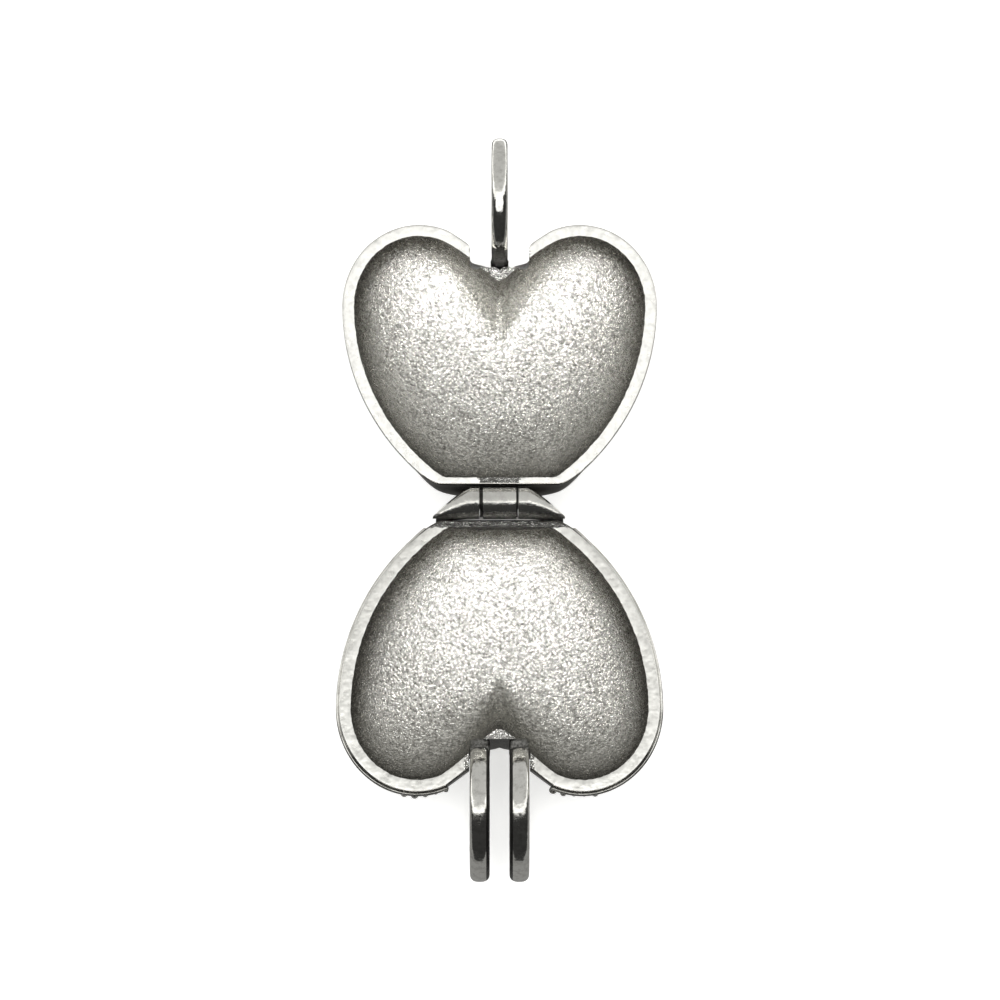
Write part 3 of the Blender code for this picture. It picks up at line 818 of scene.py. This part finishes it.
def roughen_shell(shape, bowl, rim_loops, side):
    """Casting waves in the bowl and a ragged inner edge where the ground rim meets the cast skin."""
    shape.normal_update()
    offset = Vector((3.0 * side, 1.7, 0.4))
    moves = []
    for depth, loop in enumerate(bowl):
        share = min(depth / 3, 1.0)
        for vertex in loop:
            waves = noise.fractal(vertex.co / CASTING_WAVE + offset, 1.0, 2.0, 2) * CASTING_HEIGHT
            moves.append((vertex, vertex.normal * waves * share))
    for loop, share in ((rim_loops[-1], 1.0), (bowl[1], 0.8), (bowl[2], 0.4)):
        for vertex in loop:
            ragged = noise.fractal(vertex.co / RAGGED_WAVE + offset, 1.0, 2.0, 3) * RAGGED_HEIGHT * share
            middle = Vector((0, dome_centre(), vertex.co.z))
            moves.append((vertex, (vertex.co - middle).normalized() * ragged))
    for vertex, move in moves:
        vertex.co += move


def paint_shadow_line(shape, tip):
    """Paints a shadow line in the near-black recess shade on the top of the bowl's wall at the hinge end."""
    for face in shape.faces:
        middle = face.calc_center_median()
        depth = SHADOW_LINE_DEPTH * (1 - (middle.x / SHADOW_LINE_HALF_WIDTH) ** 2)
        if face.material_index == INSIDE and middle.y < tip + SHADOW_LINE_REACH and -middle.z < depth:
            face.material_index = PAINTED_RECESS_SHADE


def mark_grainy_rim(shape, side, tip):
    """Gives the grainy solder finish to the rim beside the rings and along the tip."""
    cleft_reach = notch_half_width() + CLEFT_SOLDER_OVERLAPS[side]
    for face in shape.faces:
        if face.material_index != RIM:
            continue
        middle = face.calc_center_median()
        wobble = noise.noise(middle / SOLDER_WOBBLE_WAVE) * SOLDER_WOBBLE
        at_cleft = abs(middle.x) + wobble < cleft_reach and middle.y > sizes().lobe_height
        near_tip = middle.y < tip + TIP_WALL + TIP_SOLDER_OVERLAP
        at_tip = near_tip and abs(middle.x) + wobble * 2 < TIP_SOLDER_REACHES[side]
        if at_cleft or at_tip:
            face.material_index = BRIGHT_GRAIN if at_cleft else GRAINY


def nearest_on(outline, point):
    return min(outline, key=lambda p: (p[0] - point[0]) ** 2 + (p[1] - point[1]) ** 2)


def notch_lean(z, side):
    """How far the notch's floor has moved outwards at height z.

    On the back it follows the rings that close into it.
    """
    if z >= 0:
        return 0.0
    if side == FRONT:
        return -0.06 * z
    radius = sizes().ring_radius
    return radius - math.sqrt(radius**2 - z**2)


def notch_tool(side):
    """A tall block that opens the cleft, with round inner corners and a mouth that runs into the lobes."""
    half = notch_half_width()
    floor = notch_floor(side)
    outline = [p for p in half_outline(0.0, tip_of(side), cleft_of(side)) if p[1] > floor - MM]
    centre_x = half + NOTCH_MOUTH
    column = [p for p in outline if abs(p[0] - centre_x) < 0.12 * MM and p[1] > floor]
    height = column[0][1]
    while True:
        centre = (centre_x, height)
        near = nearest_on(outline, centre)
        if math.dist(near, centre) >= NOTCH_MOUTH or height < floor:
            break
        height -= 0.01 * MM
    turn = math.atan2(near[1] - height, near[0] - centre_x)
    right = [(half, floor + NOTCH_CORNER)]
    for i in range(MOUTH_STEPS + 1):
        angle = math.pi + (turn - math.pi) * i / MOUTH_STEPS
        right.append((centre_x + NOTCH_MOUTH * math.cos(angle), height + NOTCH_MOUTH * math.sin(angle)))
    away = 3.0 * MM
    last = right[-1]
    right.append((last[0] + away * math.cos(turn), last[1] + away * math.sin(turn)))
    bottom = []
    for i in range(CORNER_POINTS + 1):
        angle = 1.5 * math.pi + math.pi / 2 * i / CORNER_POINTS
        x = half - NOTCH_CORNER + NOTCH_CORNER * math.cos(angle)
        bottom.append((x, floor + NOTCH_CORNER * (1 + math.sin(angle))))
    right = bottom + right[1:]
    left = [(-x, y) for x, y in reversed(right)]
    outline = right + left
    shape = bmesh.new()
    loops = []
    below = [-NOTCH_DEPTH * i / NOTCH_STEPS for i in range(1, NOTCH_STEPS + 1)]
    for z in (0.5 * NOTCH_DEPTH, 0.0, *below):
        loops.append(add_loop(shape, [Vector((x, y + notch_lean(z, side), z)) for x, y in outline]))
    close_bar(shape, loops)
    # The walls that the block cuts get the near-black painted shade of the notch.
    for face in shape.faces:
        face.material_index = PAINTED_RECESS_SHADE
    place_half(shape, side)
    return piece_from("notch_tool", shape, [])


def make_shell(side):
    word = "back" if side == BACK else "front"
    shape = shell_shape(side)
    place_half(shape, side)
    finishes = [cast_finish(), rim_finish(), wall_finish(), worked_finish("grainy solder")]
    finishes += [worked_finish("painted recess shade"), worked_finish("bright grainy solder")]
    shell = piece_from(word + "_half", shape, finishes)
    cut(shell, notch_tool(side), sharp=math.radians(50))
    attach(shell, word)
    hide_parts(word + "_shell")


def section_point(turn, half_width, thickness):
    """A wire's section: nearly flat cheeks, a crowned outer face and a rounder inner one."""
    cosine, sine = math.cos(turn), math.sin(turn)
    across = math.copysign(abs(cosine) ** (2 / CHEEK_FULLNESS), cosine) * half_width
    out = math.copysign(abs(sine) ** (2 / FACE_FULLNESS), sine)
    return across, (0.5 - 0.5 * out) * thickness


def ring_shape(x, width, side):
    s = sizes()
    shape = bmesh.new()
    loops = []
    for i in range(RING_STEPS):
        angle = 2 * math.pi * (i + 0.5) / RING_STEPS
        loop = []
        for k in range(SECTION_STEPS):
            across, out = section_point(2 * math.pi * k / SECTION_STEPS, width / 2, s.ring_thickness)
            radius = s.ring_radius - out
            y = ring_centre() - radius * math.cos(angle)
            loop.append(shape.verts.new((x * side + across, y, radius * math.sin(angle))))
        loops.append(loop)
    for i, loop in enumerate(loops):
        bridge(shape, loop, loops[(i + 1) % RING_STEPS])
    bmesh.ops.recalc_face_normals(shape, faces=shape.faces)
    return shape


def rounded_block(low, high, corner, steps):
    """A block with every edge rounded, as a closed grid that can be roughened."""
    shape = bmesh.new()
    bmesh.ops.create_cube(shape, size=1.0)
    bmesh.ops.subdivide_edges(shape, edges=shape.edges, cuts=steps, use_grid_fill=True)
    middle = (low + high) / 2
    half = (high - low) / 2
    for vertex in shape.verts:
        full = Vector((vertex.co[k] * 2 * half[k] for k in range(3)))
        core = Vector((max(-half[k] + corner, min(half[k] - corner, full[k])) for k in range(3)))
        away = full - core
        if away.length > 0:
            full = core + away.normalized() * corner
        vertex.co = middle + full
    return shape


def make_foot(name, x, width, side, body):
    """The grainy lump of solder where a ring meets the floor of its notch."""
    s = sizes()
    floor = notch_floor(side)
    near = ring_centre() - s.ring_radius + FOOT_EMBED
    half = width / 2 + FOOT_SIDES[side]
    low = Vector((x * side - half, floor - FOOT_SINKS[side], -FOOT_DROP))
    high = Vector((x * side + half, near, FOOT_TOPS[side]))
    shape = rounded_block(low, high, FOOT_CORNERS[side], 18)
    bmesh.ops.recalc_face_normals(shape, faces=shape.faces)
    roughen(shape, 0.25 * MM, 0.020 * MM, 7.0 + x / MM)
    place_half(shape, side)
    # The back foot gets near-black painted shade, down in its notch.
    foot = piece_from(name, shape, [worked_finish("painted recess shade" if side == BACK else "dull solder")])
    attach(foot, body)


def paint_foot_shade(shape, side):
    """Paints shade on the wire, with a rough finish, where it goes down to its foot in the notch, and on the
    inner cheeks between the front rings.
    """
    limit = ring_centre() - sizes().ring_radius + SHADED_WIRE_REACHES[side]
    for face in shape.faces:
        middle = face.calc_center_median()
        ragged = noise.fractal(middle * side / (0.3 * MM), 1.0, 2.0, 2) * RAGGED_POLISH
        inner_cheek = side == FRONT and face.normal.x * middle.x < -INNER_CHEEK_LEAN * abs(middle.x)
        if middle.y * side + ragged < limit or inner_cheek:
            face.material_index = 1


def make_ring(node, x, width, side, body):
    shape = ring_shape(x, width, side)
    roughen(shape, 1.1 * MM, 0.008 * MM, 11.0 + x / MM)
    place_half(shape, side)
    paint_foot_shade(shape, side)
    ring = piece_from(node + "_wire", shape, [ring_finish(), worked_finish("painted recess shade")], SOFT_EDGE)
    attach(ring, body)
    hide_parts(node)
    make_foot(node + "_foot", x, width, side, body)


def round_loop(shape, x, radius, back=0.0):
    """A circle of vertices round the hinge axis at x, moved back along Y."""
    turns = arc(0, 2 * math.pi, ROUND_STEPS)
    height = axis_height()
    return add_loop(shape, [(x, radius * math.cos(a) - back, height + radius * math.sin(a)) for a in turns])


def barrel(radius, start, end, edge=0.0):
    """A round bar along X on the hinge axis, with its end edges taken off by edge."""
    stations = [(start, radius), (end, radius)]
    if edge:
        stations = [(start, radius - edge), (start + edge, radius)]
        stations += [(end - edge, radius), (end, radius - edge)]
    shape = bmesh.new()
    close_bar(shape, [round_loop(shape, x, r) for x, r in stations])
    return shape


def bore_tool(start, end):
    return piece_from("bore_tool", barrel(sizes().pin_radius + PIN_CLEARANCE, start, end), [])


def mark_knuckle(shape, gap_finish):
    """Paints shade on a knuckle's front and ends and shadow in the gaps, with a rough finish there, and gives
    the web grainy solder.
    """
    half = sizes().centre_knuckle_width / 2
    radius = sizes().knuckle_radius
    tolerance = 0.001 * MM
    for face in shape.faces:
        middle = face.calc_center_median()
        ragged = noise.noise(middle / (0.25 * MM)) * 0.07 * MM
        across = abs(middle.x)
        in_gap = half - tolerance < across < half + KNUCKLE_GAP + LEFT_GAP_EXTRA / 2
        if middle.y + ragged < -SHADED_FRONT_SHARE * radius or in_gap:
            face.material_index = KNUCKLE_SHADE if across < half + tolerance else gap_finish
        elif middle.y + ragged > WEB_SOLDER_SHARE * radius and across < half:
            face.material_index = WEB_SOLDER


def make_centre_knuckle():
    """The middle barrel, whose lower back runs out to the back half's tip."""
    s = sizes()
    half = s.centre_knuckle_width / 2
    web_top = -RIM_CLEARANCE
    start = math.asin(web_top / s.knuckle_radius)
    end = 2 * math.pi - math.asin((WEB_HEIGHT - web_top) / s.knuckle_radius)
    profile = []
    for i in range(ROUND_STEPS + 1):
        angle = start + (end - start) * i / ROUND_STEPS
        profile.append((s.knuckle_radius * math.cos(angle), s.knuckle_radius * math.sin(angle)))
    tip = tip_of(BACK)
    level = wall_level(WEB_HEIGHT, s.shell_depth, OUTER_FULLNESS)
    wall = dome_point((0.0, tip), tip, level, s.shell_depth, OUTER_FULLNESS, WALL_BULGE)
    profile.append((wall.y, web_top - WEB_HEIGHT))
    profile.append((wall.y, web_top))
    edge = KNUCKLE_EDGE
    shape = bmesh.new()
    loops = []
    # Bosses at the ends fill the gaps beside the barrel and take the painted shadow of the gaps.
    boss = half + KNUCKLE_GAP * BOSS_SHARE
    stations = [(-boss - LEFT_GAP_EXTRA, BOSS_PULL), (-half, BOSS_PULL), (-half, 1)]
    stations += [(-half + edge * 0.3, 0.3), (-half + edge, 0)]
    span = 2 * half - 2 * edge
    stations += [(-half + edge + span * i / BARREL_STEPS, 0) for i in range(1, BARREL_STEPS)]
    stations += [(half - edge, 0), (half - edge * 0.3, 0.3), (half, 1), (half, BOSS_PULL), (boss, BOSS_PULL)]
    for x, share in stations:
        loop = []
        for y, z in profile:
            pull = 1 - edge * share / max(math.hypot(y, z), edge)
            loop.append(shape.verts.new((x, y * pull, axis_height() + z * pull)))
        loops.append(loop)
    close_bar(shape, loops)
    bmesh.ops.recalc_face_normals(shape, faces=shape.faces)
    roughen(shape, KNUCKLE_WAVE, KNUCKLE_WAVE_HEIGHT, 21.0)
    mark_knuckle(shape, GAP_SHADOW)
    finishes = [knuckle_finish(), worked_finish("painted knuckle shade"), worked_finish("grainy solder")]
    finishes.append(worked_finish("painted recess shade"))
    knuckle = piece_from("centre_barrel", shape, finishes)
    cut(knuckle, bore_tool(-2 * half, 2 * half))
    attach(knuckle, "back")
    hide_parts("centre_knuckle")


def make_side_knuckle(word, direction):
    """A barrel of the front half that runs out to a point along the tip."""
    s = sizes()
    inner_end = s.centre_knuckle_width / 2 + KNUCKLE_GAP + (LEFT_GAP_EXTRA if direction < 0 else 0.0)
    edge = KNUCKLE_EDGE
    radius = s.knuckle_radius
    stations = [(inner_end, radius - edge), (inner_end + edge * 0.3, radius - edge * 0.3)]
    straight = SIDE_KNUCKLE_STRAIGHT - edge
    for i in range(STRAIGHT_STEPS + 1):
        stations.append((inner_end + edge + straight * i / STRAIGHT_STEPS, radius))
    for i in range(1, TAPER_STEPS + 1):
        run = i / TAPER_STEPS
        r = TAPER_END_RADIUS + (radius - TAPER_END_RADIUS) * (1 - run**TAPER_POWER)
        stations.append((inner_end + SIDE_KNUCKLE_STRAIGHT + SIDE_KNUCKLE_TAPER * run, r))
    shape = bmesh.new()
    loops = []
    for x, r in stations:
        back = radius - r if x > inner_end + edge else 0.0
        loops.append(round_loop(shape, x * direction, r, back))
    close_bar(shape, loops)
    bmesh.ops.recalc_face_normals(shape, faces=shape.faces)
    roughen(shape, KNUCKLE_WAVE, KNUCKLE_WAVE_HEIGHT, 23.0 + direction)
    mark_knuckle(shape, KNUCKLE_SHADE)
    knuckle = piece_from(word + "_barrel", shape, [knuckle_finish(), worked_finish("painted knuckle shade")])
    bore_end = s.centre_knuckle_width / 2 + KNUCKLE_GAP + PIN_EMBED + PIN_CLEARANCE
    cut(knuckle, bore_tool(*sorted((direction * inner_end * 0.5, direction * bore_end))))
    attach(knuckle, "front")
    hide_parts(word + "_knuckle")


def make_ledge():
    """The seam of solder along the front half's tip, below the knuckles, in near-black painted shadow."""
    radius = sizes().knuckle_radius
    low = Vector((-LEDGE_HALF_WIDTH, -radius - LEDGE_STAND_OFF, LEDGE_HEIGHTS[0]))
    high = Vector((LEDGE_HALF_WIDTH, -LEDGE_BACK_SHARE * radius, LEDGE_HEIGHTS[1]))
    shape = rounded_block(low, high, LEDGE_CORNER, 12)
    bmesh.ops.translate(shape, vec=(0, 0, axis_height()), verts=shape.verts)
    bmesh.ops.recalc_face_normals(shape, faces=shape.faces)
    ledge = piece_from("hinge_seam", shape, [worked_finish("painted recess shade")])
    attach(ledge, "front")


def make_pin():
    half = sizes().centre_knuckle_width / 2 + KNUCKLE_GAP + PIN_EMBED
    pin = piece_from("hinge_wire", barrel(sizes().pin_radius, -half, half, 0.06 * MM), [pin_finish()])
    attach(pin, "front")
    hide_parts("hinge_pin")


def wire_shape(points, radii, steps=16):
    """A round wire along points whose ends are closed by small domes."""
    shape = bmesh.new()
    loops = []
    across = None
    for i, point in enumerate(points):
        forward = (points[min(i + 1, len(points) - 1)] - points[max(i - 1, 0)]).normalized()
        if across is None:
            across = forward.orthogonal().normalized()
        across = (across - forward * across.dot(forward)).normalized()
        side = forward.cross(across)
        turns = [across * math.cos(a) + side * math.sin(a) for a in arc(0, 2 * math.pi, steps)]
        loops.append(add_loop(shape, [point + turn * radii[i] for turn in turns]))
    join_loops(shape, loops)
    for loop, end, before in ((loops[0], 0, 1), (loops[-1], -1, -2)):
        forward = (points[end] - points[before]).normalized()
        last = loop
        for share in (0.5, 0.85):
            turn = share * math.pi / 2
            centre = forward * radii[end] * math.sin(turn)
            ring = [points[end] + (v.co - points[end]) * math.cos(turn) + centre for v in loop]
            ring = add_loop(shape, ring)
            bridge(shape, last, ring)
            last = ring
        pole = shape.verts.new(points[end] + forward * radii[end])
        for i, vertex in enumerate(last):
            shape.faces.new((vertex, last[(i + 1) % steps], pole))
    return shape


def wall_point(point, outward, drop, stand_off):
    """A place beside the front wall, drop below the rim and stand_off out from it."""
    s = sizes()
    level = wall_level(drop, s.shell_depth, OUTER_FULLNESS)
    place = dome_point(point, tip_of(FRONT), level, s.shell_depth, OUTER_FULLNESS, WALL_BULGE)
    return place + outward * stand_off


def front_dome():
    """The front dome as a surface that plan points can be dropped onto, drawn towards +Y."""
    s = sizes()
    tip = tip_of(FRONT)
    shape = bmesh.new()
    outline = heart_outline(0.0, tip, cleft_of(FRONT))[::4]
    loops = []
    for step in range(OUTER_LEVELS):
        level = (step / OUTER_LEVELS) ** 1.2
        points = [dome_point(p, tip, level, s.shell_depth, OUTER_FULLNESS, WALL_BULGE) for p in outline]
        loops.append(add_loop(shape, points))
    for upper, lower in zip(loops, loops[1:]):
        bridge(shape, lower, upper)
    close_dome(shape, loops[-1], s.shell_depth, 0)
    surface = BVHTree.FromBMesh(shape)
    shape.free()
    return surface


def on_dome(surface, x, y, stand_off):
    start = Vector((x, y, -2 * sizes().shell_depth))
    hit, normal, _, _ = surface.ray_cast(start, Vector((0, 0, 1)))
    if hit is None:
        raise RuntimeError("the ornament reaches past the dome")
    if normal.z > 0:
        normal = -normal
    return hit + normal * stand_off


def finish_relief(piece, node):
    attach(piece, "front")
    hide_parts(node)


def make_border_wire(word, direction):
    """A fine wire on the front wall, from the shoulder of the lobe round to the tip corner."""
    s = sizes()
    outline = half_outline(0.0, tip_of(FRONT), cleft_of(FRONT))
    start = TIP_POINTS + CORNER_POINTS
    points = []
    for i in range(start, start + SIDE_POINTS + LOBE_POINTS + 1):
        along = Vector(outline[i + 1]) - Vector(outline[i - 1])
        outward = Vector((along.y, -along.x, 0)).normalized()
        place = wall_point(outline[i], outward, BORDER_WIRE_DEPTH, s.border_wire_radius * 0.8)
        points.append(Vector((place.x * direction, place.y, place.z)))
    shape = wire_shape(points, [s.border_wire_radius] * len(points))
    place_half(shape, FRONT)
    wire = piece_from(word + "_border", shape, [relief_finish()], SOFT_EDGE)
    finish_relief(wire, word + "_border_wire")


def make_scroll(name, node, scroll, direction, surface):
    """A spiral of wire on the front dome, fullest in the middle and rolled up to a small ball."""
    centre, outer, inner, start, turns = scroll
    wire = sizes().scroll_wire_radius
    points = []
    radii = []
    for i in range(SCROLL_STEPS + 1):
        run = i / SCROLL_STEPS
        angle = start + 2 * math.pi * turns * run
        radius = outer + (inner - outer) * run
        x = centre[0] + radius * math.cos(angle)
        y = centre[1] + radius * math.sin(angle)
        thick = wire * (0.45 + 0.60 * math.sin(math.pi * min(run * 1.15, 1.0)) ** 0.8)
        if run > SCROLL_BALL_START:
            ball = (run - SCROLL_BALL_START) / (1 - SCROLL_BALL_START)
            thick = wire * (0.60 + 0.55 * math.sin(ball * math.pi / 2))
        place = on_dome(surface, x, y, thick * 0.75)
        points.append(Vector((place.x * direction, place.y, place.z)))
        radii.append(thick)
    shape = wire_shape(points, radii)
    place_half(shape, FRONT)
    piece = piece_from(name, shape, [relief_finish()], SOFT_EDGE)
    finish_relief(piece, node)


def make_bead(name, node, direction, angle):
    """A melted granule of metal that sits in a flat collar of solder."""
    s = sizes()
    x = lobe_x() + s.lobe_radius * math.cos(angle)
    rim = (x, s.lobe_height + s.lobe_radius * LOBE_STRETCH * math.sin(angle))
    outward = Vector((math.cos(angle) * LOBE_STRETCH, math.sin(angle), 0)).normalized()
    size = s.bead_radius * (BEAD_SIZE + BEAD_SIZE_CHANGE * math.sin(angle * 37 + direction))
    place = wall_point(rim, outward, BEAD_DEPTH, size * BEAD_COLLAR_DEPTH)
    place.x *= direction
    outward.x *= direction
    shape = bmesh.new()
    bmesh.ops.create_icosphere(shape, subdivisions=4, radius=size)
    for vertex in shape.verts:
        depth = -vertex.co.dot(outward) / size
        if depth > BEAD_COLLAR_DEPTH:
            inward = outward * vertex.co.dot(outward)
            spread = 1 + BEAD_COLLAR_SPREAD * (depth - BEAD_COLLAR_DEPTH)
            vertex.co = (vertex.co - inward) * spread + inward
    roughen(shape, 0.3 * MM, 0.010 * MM, 31.0 + angle * 5)
    bmesh.ops.translate(shape, vec=place, verts=shape.verts)
    place_half(shape, FRONT)
    bead = piece_from(name, shape, [relief_finish()], SOFT_EDGE)
    finish_relief(bead, node)


# ---------------------------------------------------------------- stage


def aim(item, target):
    direction = Vector(target) - item.location
    item.rotation_euler = direction.to_track_quat("-Z", "Y").to_euler()


def lit_only(light, pieces):
    """Links a light to the named pieces, so that it reaches nothing else."""
    group = bpy.data.collections.new(light.name + "_lit")
    for piece in pieces:
        group.objects.link(bpy.data.objects[piece])
    light.light_linking.receiver_collection = group


def make_area_light(name, place, target, width, height, strength, lit):
    """A soft area light for the named pieces only."""
    lamp = bpy.data.lights.new(name, "AREA")
    lamp.shape = "ELLIPSE"
    lamp.size = width
    lamp.size_y = height
    lamp.energy = strength * width * height
    light = bpy.data.objects.new(name, lamp)
    light.location = place
    bpy.context.scene.collection.objects.link(light)
    aim(light, target)
    light.visible_camera = False
    lit_only(light, lit)


def make_floor():
    """A pale floor with its own overhead sun, which lights nothing else."""
    shape = bmesh.new()
    bmesh.ops.create_grid(shape, x_segments=8, y_segments=8, size=FLOOR_HALF_WIDTH)
    bmesh.ops.translate(shape, vec=(0, 0, -FLOOR_DROP), verts=shape.verts)
    material = bpy.data.materials.new("pale floor")
    sheet = NodeSheet(material)
    sheet.shader.inputs["Base Color"].default_value = (*colours().floor, 1.0)
    sheet.shader.inputs["Roughness"].default_value = 0.8
    sheet.shader.inputs["Emission Color"].default_value = (*colours().floor, 1.0)
    sheet.shader.inputs["Emission Strength"].default_value = FLOOR_GLOW
    floor = piece_from("floor", shape, [material])
    floor.visible_glossy = False
    lamp = bpy.data.lights.new("floor_sun", "SUN")
    lamp.energy = FLOOR_SUN_STRENGTH
    lamp.angle = math.radians(100)
    sun = bpy.data.objects.new("floor_sun", lamp)
    bpy.context.scene.collection.objects.link(sun)
    lit_only(sun, [floor.name])


def make_world():
    """Grey overhead and behind the back half, dark in front, with a bright band where the two meet."""
    world = bpy.data.worlds.new("studio")
    sheet = NodeSheet(world, "Background", "Generated")
    lean = sheet.add("ShaderNodeVectorMath", operation="DOT_PRODUCT")
    lean.inputs[1].default_value = BAND_LEAN
    sheet.link(sheet.place, lean.inputs[0])
    ramp = sheet.add("ShaderNodeValToRGB")
    ramp.color_ramp.interpolation = "EASE"
    stops = ramp.color_ramp.elements
    for position, _ in WORLD_STOPS[1:-1]:
        stops.new(position)
    for stop, (_, level) in zip(stops, WORLD_STOPS):
        stop.color = (level, level, level, 1.0)
    sheet.link(lean.outputs["Value"], ramp.inputs["Fac"])
    band = sheet.math("MULTIPLY", ramp.outputs["Color"], BAND_STRENGTH)
    below = sheet.span(sheet.axes()["Z"], 0.0, LOW_WORLD_DROP, 0.0, LOW_WORLD_STRENGTH, "SMOOTHSTEP")
    sheet.link(sheet.math("MAXIMUM", band, below), sheet.shader.inputs["Strength"])
    sheet.shader.inputs["Color"].default_value = WORLD_TINT
    bpy.context.scene.world = world


def make_camera():
    """Looks down on the open locket, leaning a little towards the front half."""
    target = Vector((0.03 * MM, 0.25 * MM, axis_height()))
    lens = bpy.data.cameras.new("camera")
    lens.sensor_width = CAMERA_SENSOR
    lens.lens = CAMERA_SENSOR * CAMERA_DISTANCE / CAMERA_FIELD
    lens.clip_start = 0.01
    lens.clip_end = 10.0
    camera = bpy.data.objects.new("camera", lens)
    direction = Vector((0, -math.sin(CAMERA_LEAN), math.cos(CAMERA_LEAN)))
    camera.location = target + direction * CAMERA_DISTANCE
    bpy.context.scene.collection.objects.link(camera)
    aim(camera, target)
    bpy.context.scene.camera = camera


# ---------------------------------------------------------------- operators


class LOCKET_OT_shells(bpy.types.Operator):
    """Makes the two hollow heart halves"""

    bl_idname = "locket.shells"
    bl_label = "Shell Halves"

    def execute(self, context):
        make_shell(BACK)
        make_shell(FRONT)
        return {"FINISHED"}


class LOCKET_OT_rings(bpy.types.Operator):
    """Makes the three bail rings and their soldered feet"""

    bl_idname = "locket.rings"
    bl_label = "Bail Rings"

    def execute(self, context):
        s = sizes()
        make_ring("back_ring", 0.0, s.back_ring_width, BACK, "back")
        ring_x = (ring_gap() + s.front_ring_width) / 2
        make_ring("left_front_ring", -ring_x, s.front_ring_width, FRONT, "front")
        make_ring("right_front_ring", ring_x, s.front_ring_width, FRONT, "front")
        return {"FINISHED"}


class LOCKET_OT_hinge(bpy.types.Operator):
    """Makes the three knuckles, the pin and the solder ledge below them"""

    bl_idname = "locket.hinge"
    bl_label = "Hinge"

    def execute(self, context):
        make_centre_knuckle()
        make_side_knuckle("left", -1)
        make_side_knuckle("right", 1)
        make_pin()
        make_ledge()
        return {"FINISHED"}


class LOCKET_OT_borders(bpy.types.Operator):
    """Makes the fine wires under the front rim"""

    bl_idname = "locket.borders"
    bl_label = "Border Wires"

    def execute(self, context):
        # The front half is drawn towards +Y and then turned round, which swaps its left and right.
        make_border_wire("left", 1)
        make_border_wire("right", -1)
        return {"FINISHED"}


class LOCKET_OT_scrolls(bpy.types.Operator):
    """Makes the four scrolls on the front dome"""

    bl_idname = "locket.scrolls"
    bl_label = "Scrolls"

    def execute(self, context):
        surface = front_dome()
        lobe_centre = (lobe_x() + LOBE_SCROLL_SHIFT[0], sizes().lobe_height + LOBE_SCROLL_SHIFT[1])
        lobe_scroll = (lobe_centre, *LOBE_SCROLL_RADII, *LOBE_SCROLL_TURN)
        tip_scroll = (TIP_SCROLL_CENTRE, *TIP_SCROLL_RADII, *TIP_SCROLL_TURN)
        for word, direction in (("left", 1), ("right", -1)):
            make_scroll(word + "_lobe_spiral", word + "_lobe_scroll", lobe_scroll, direction, surface)
            make_scroll(word + "_tip_spiral", word + "_tip_scroll", tip_scroll, direction, surface)
        return {"FINISHED"}


class LOCKET_OT_beads(bpy.types.Operator):
    """Makes the granules beside the rings on the front wall"""

    bl_idname = "locket.beads"
    bl_label = "Beads"

    def execute(self, context):
        for word, direction in (("left", 1), ("right", -1)):
            for i in range(BEAD_COUNT):
                angle = BEAD_FIRST + (BEAD_LAST - BEAD_FIRST) * i / (BEAD_COUNT - 1)
                make_bead(f"{word}_granule_{i + 1}", f"{word}_bead_{i + 1}", direction, angle)
        return {"FINISHED"}


class LOCKET_OT_stage(bpy.types.Operator):
    """Makes the pale floor, the soft lights and the camera"""

    bl_idname = "locket.stage"
    bl_label = "Stage"

    def execute(self, context):
        make_floor()
        make_world()
        make_camera()
        for name, light in AREA_LIGHTS.items():
            make_area_light(name, *light)
        context.scene.view_settings.view_transform = "Standard"
        return {"FINISHED"}


class LOCKET_PT_panel(bpy.types.Panel):
    """Lists the locket's pieces, sizes and colours"""

    bl_idname = "LOCKET_PT_panel"
    bl_label = "Heart Locket"
    bl_space_type = "VIEW_3D"
    bl_region_type = "UI"
    bl_category = "Locket"

    def draw(self, context):
        column = self.layout.column(align=True)
        for operator in OPERATORS:
            column.operator(operator.bl_idname, text=operator.bl_label)
        for settings in (context.scene.locket_sizes, context.scene.locket_colours):
            column.separator()
            for name in settings.__annotations__:
                column.prop(settings, name)


OPERATORS = (
    LOCKET_OT_shells,
    LOCKET_OT_rings,
    LOCKET_OT_hinge,
    LOCKET_OT_borders,
    LOCKET_OT_scrolls,
    LOCKET_OT_beads,
    LOCKET_OT_stage,
)
CLASSES = (LocketSizes, LocketColours, *OPERATORS, LOCKET_PT_panel)


def register():
    for item in CLASSES:
        bpy.utils.register_class(item)
    bpy.types.Scene.locket_sizes = bpy.props.PointerProperty(type=LocketSizes)
    bpy.types.Scene.locket_colours = bpy.props.PointerProperty(type=LocketColours)


def unregister():
    del bpy.types.Scene.locket_colours
    del bpy.types.Scene.locket_sizes
    for item in reversed(CLASSES):
        bpy.utils.unregister_class(item)


def main():
    register()
    bpy.ops.locket.shells()
    bpy.ops.locket.rings()
    bpy.ops.locket.hinge()
    bpy.ops.locket.borders()
    bpy.ops.locket.scrolls()
    bpy.ops.locket.beads()
    bpy.ops.locket.stage()


if __name__ == "__main__":
    main()
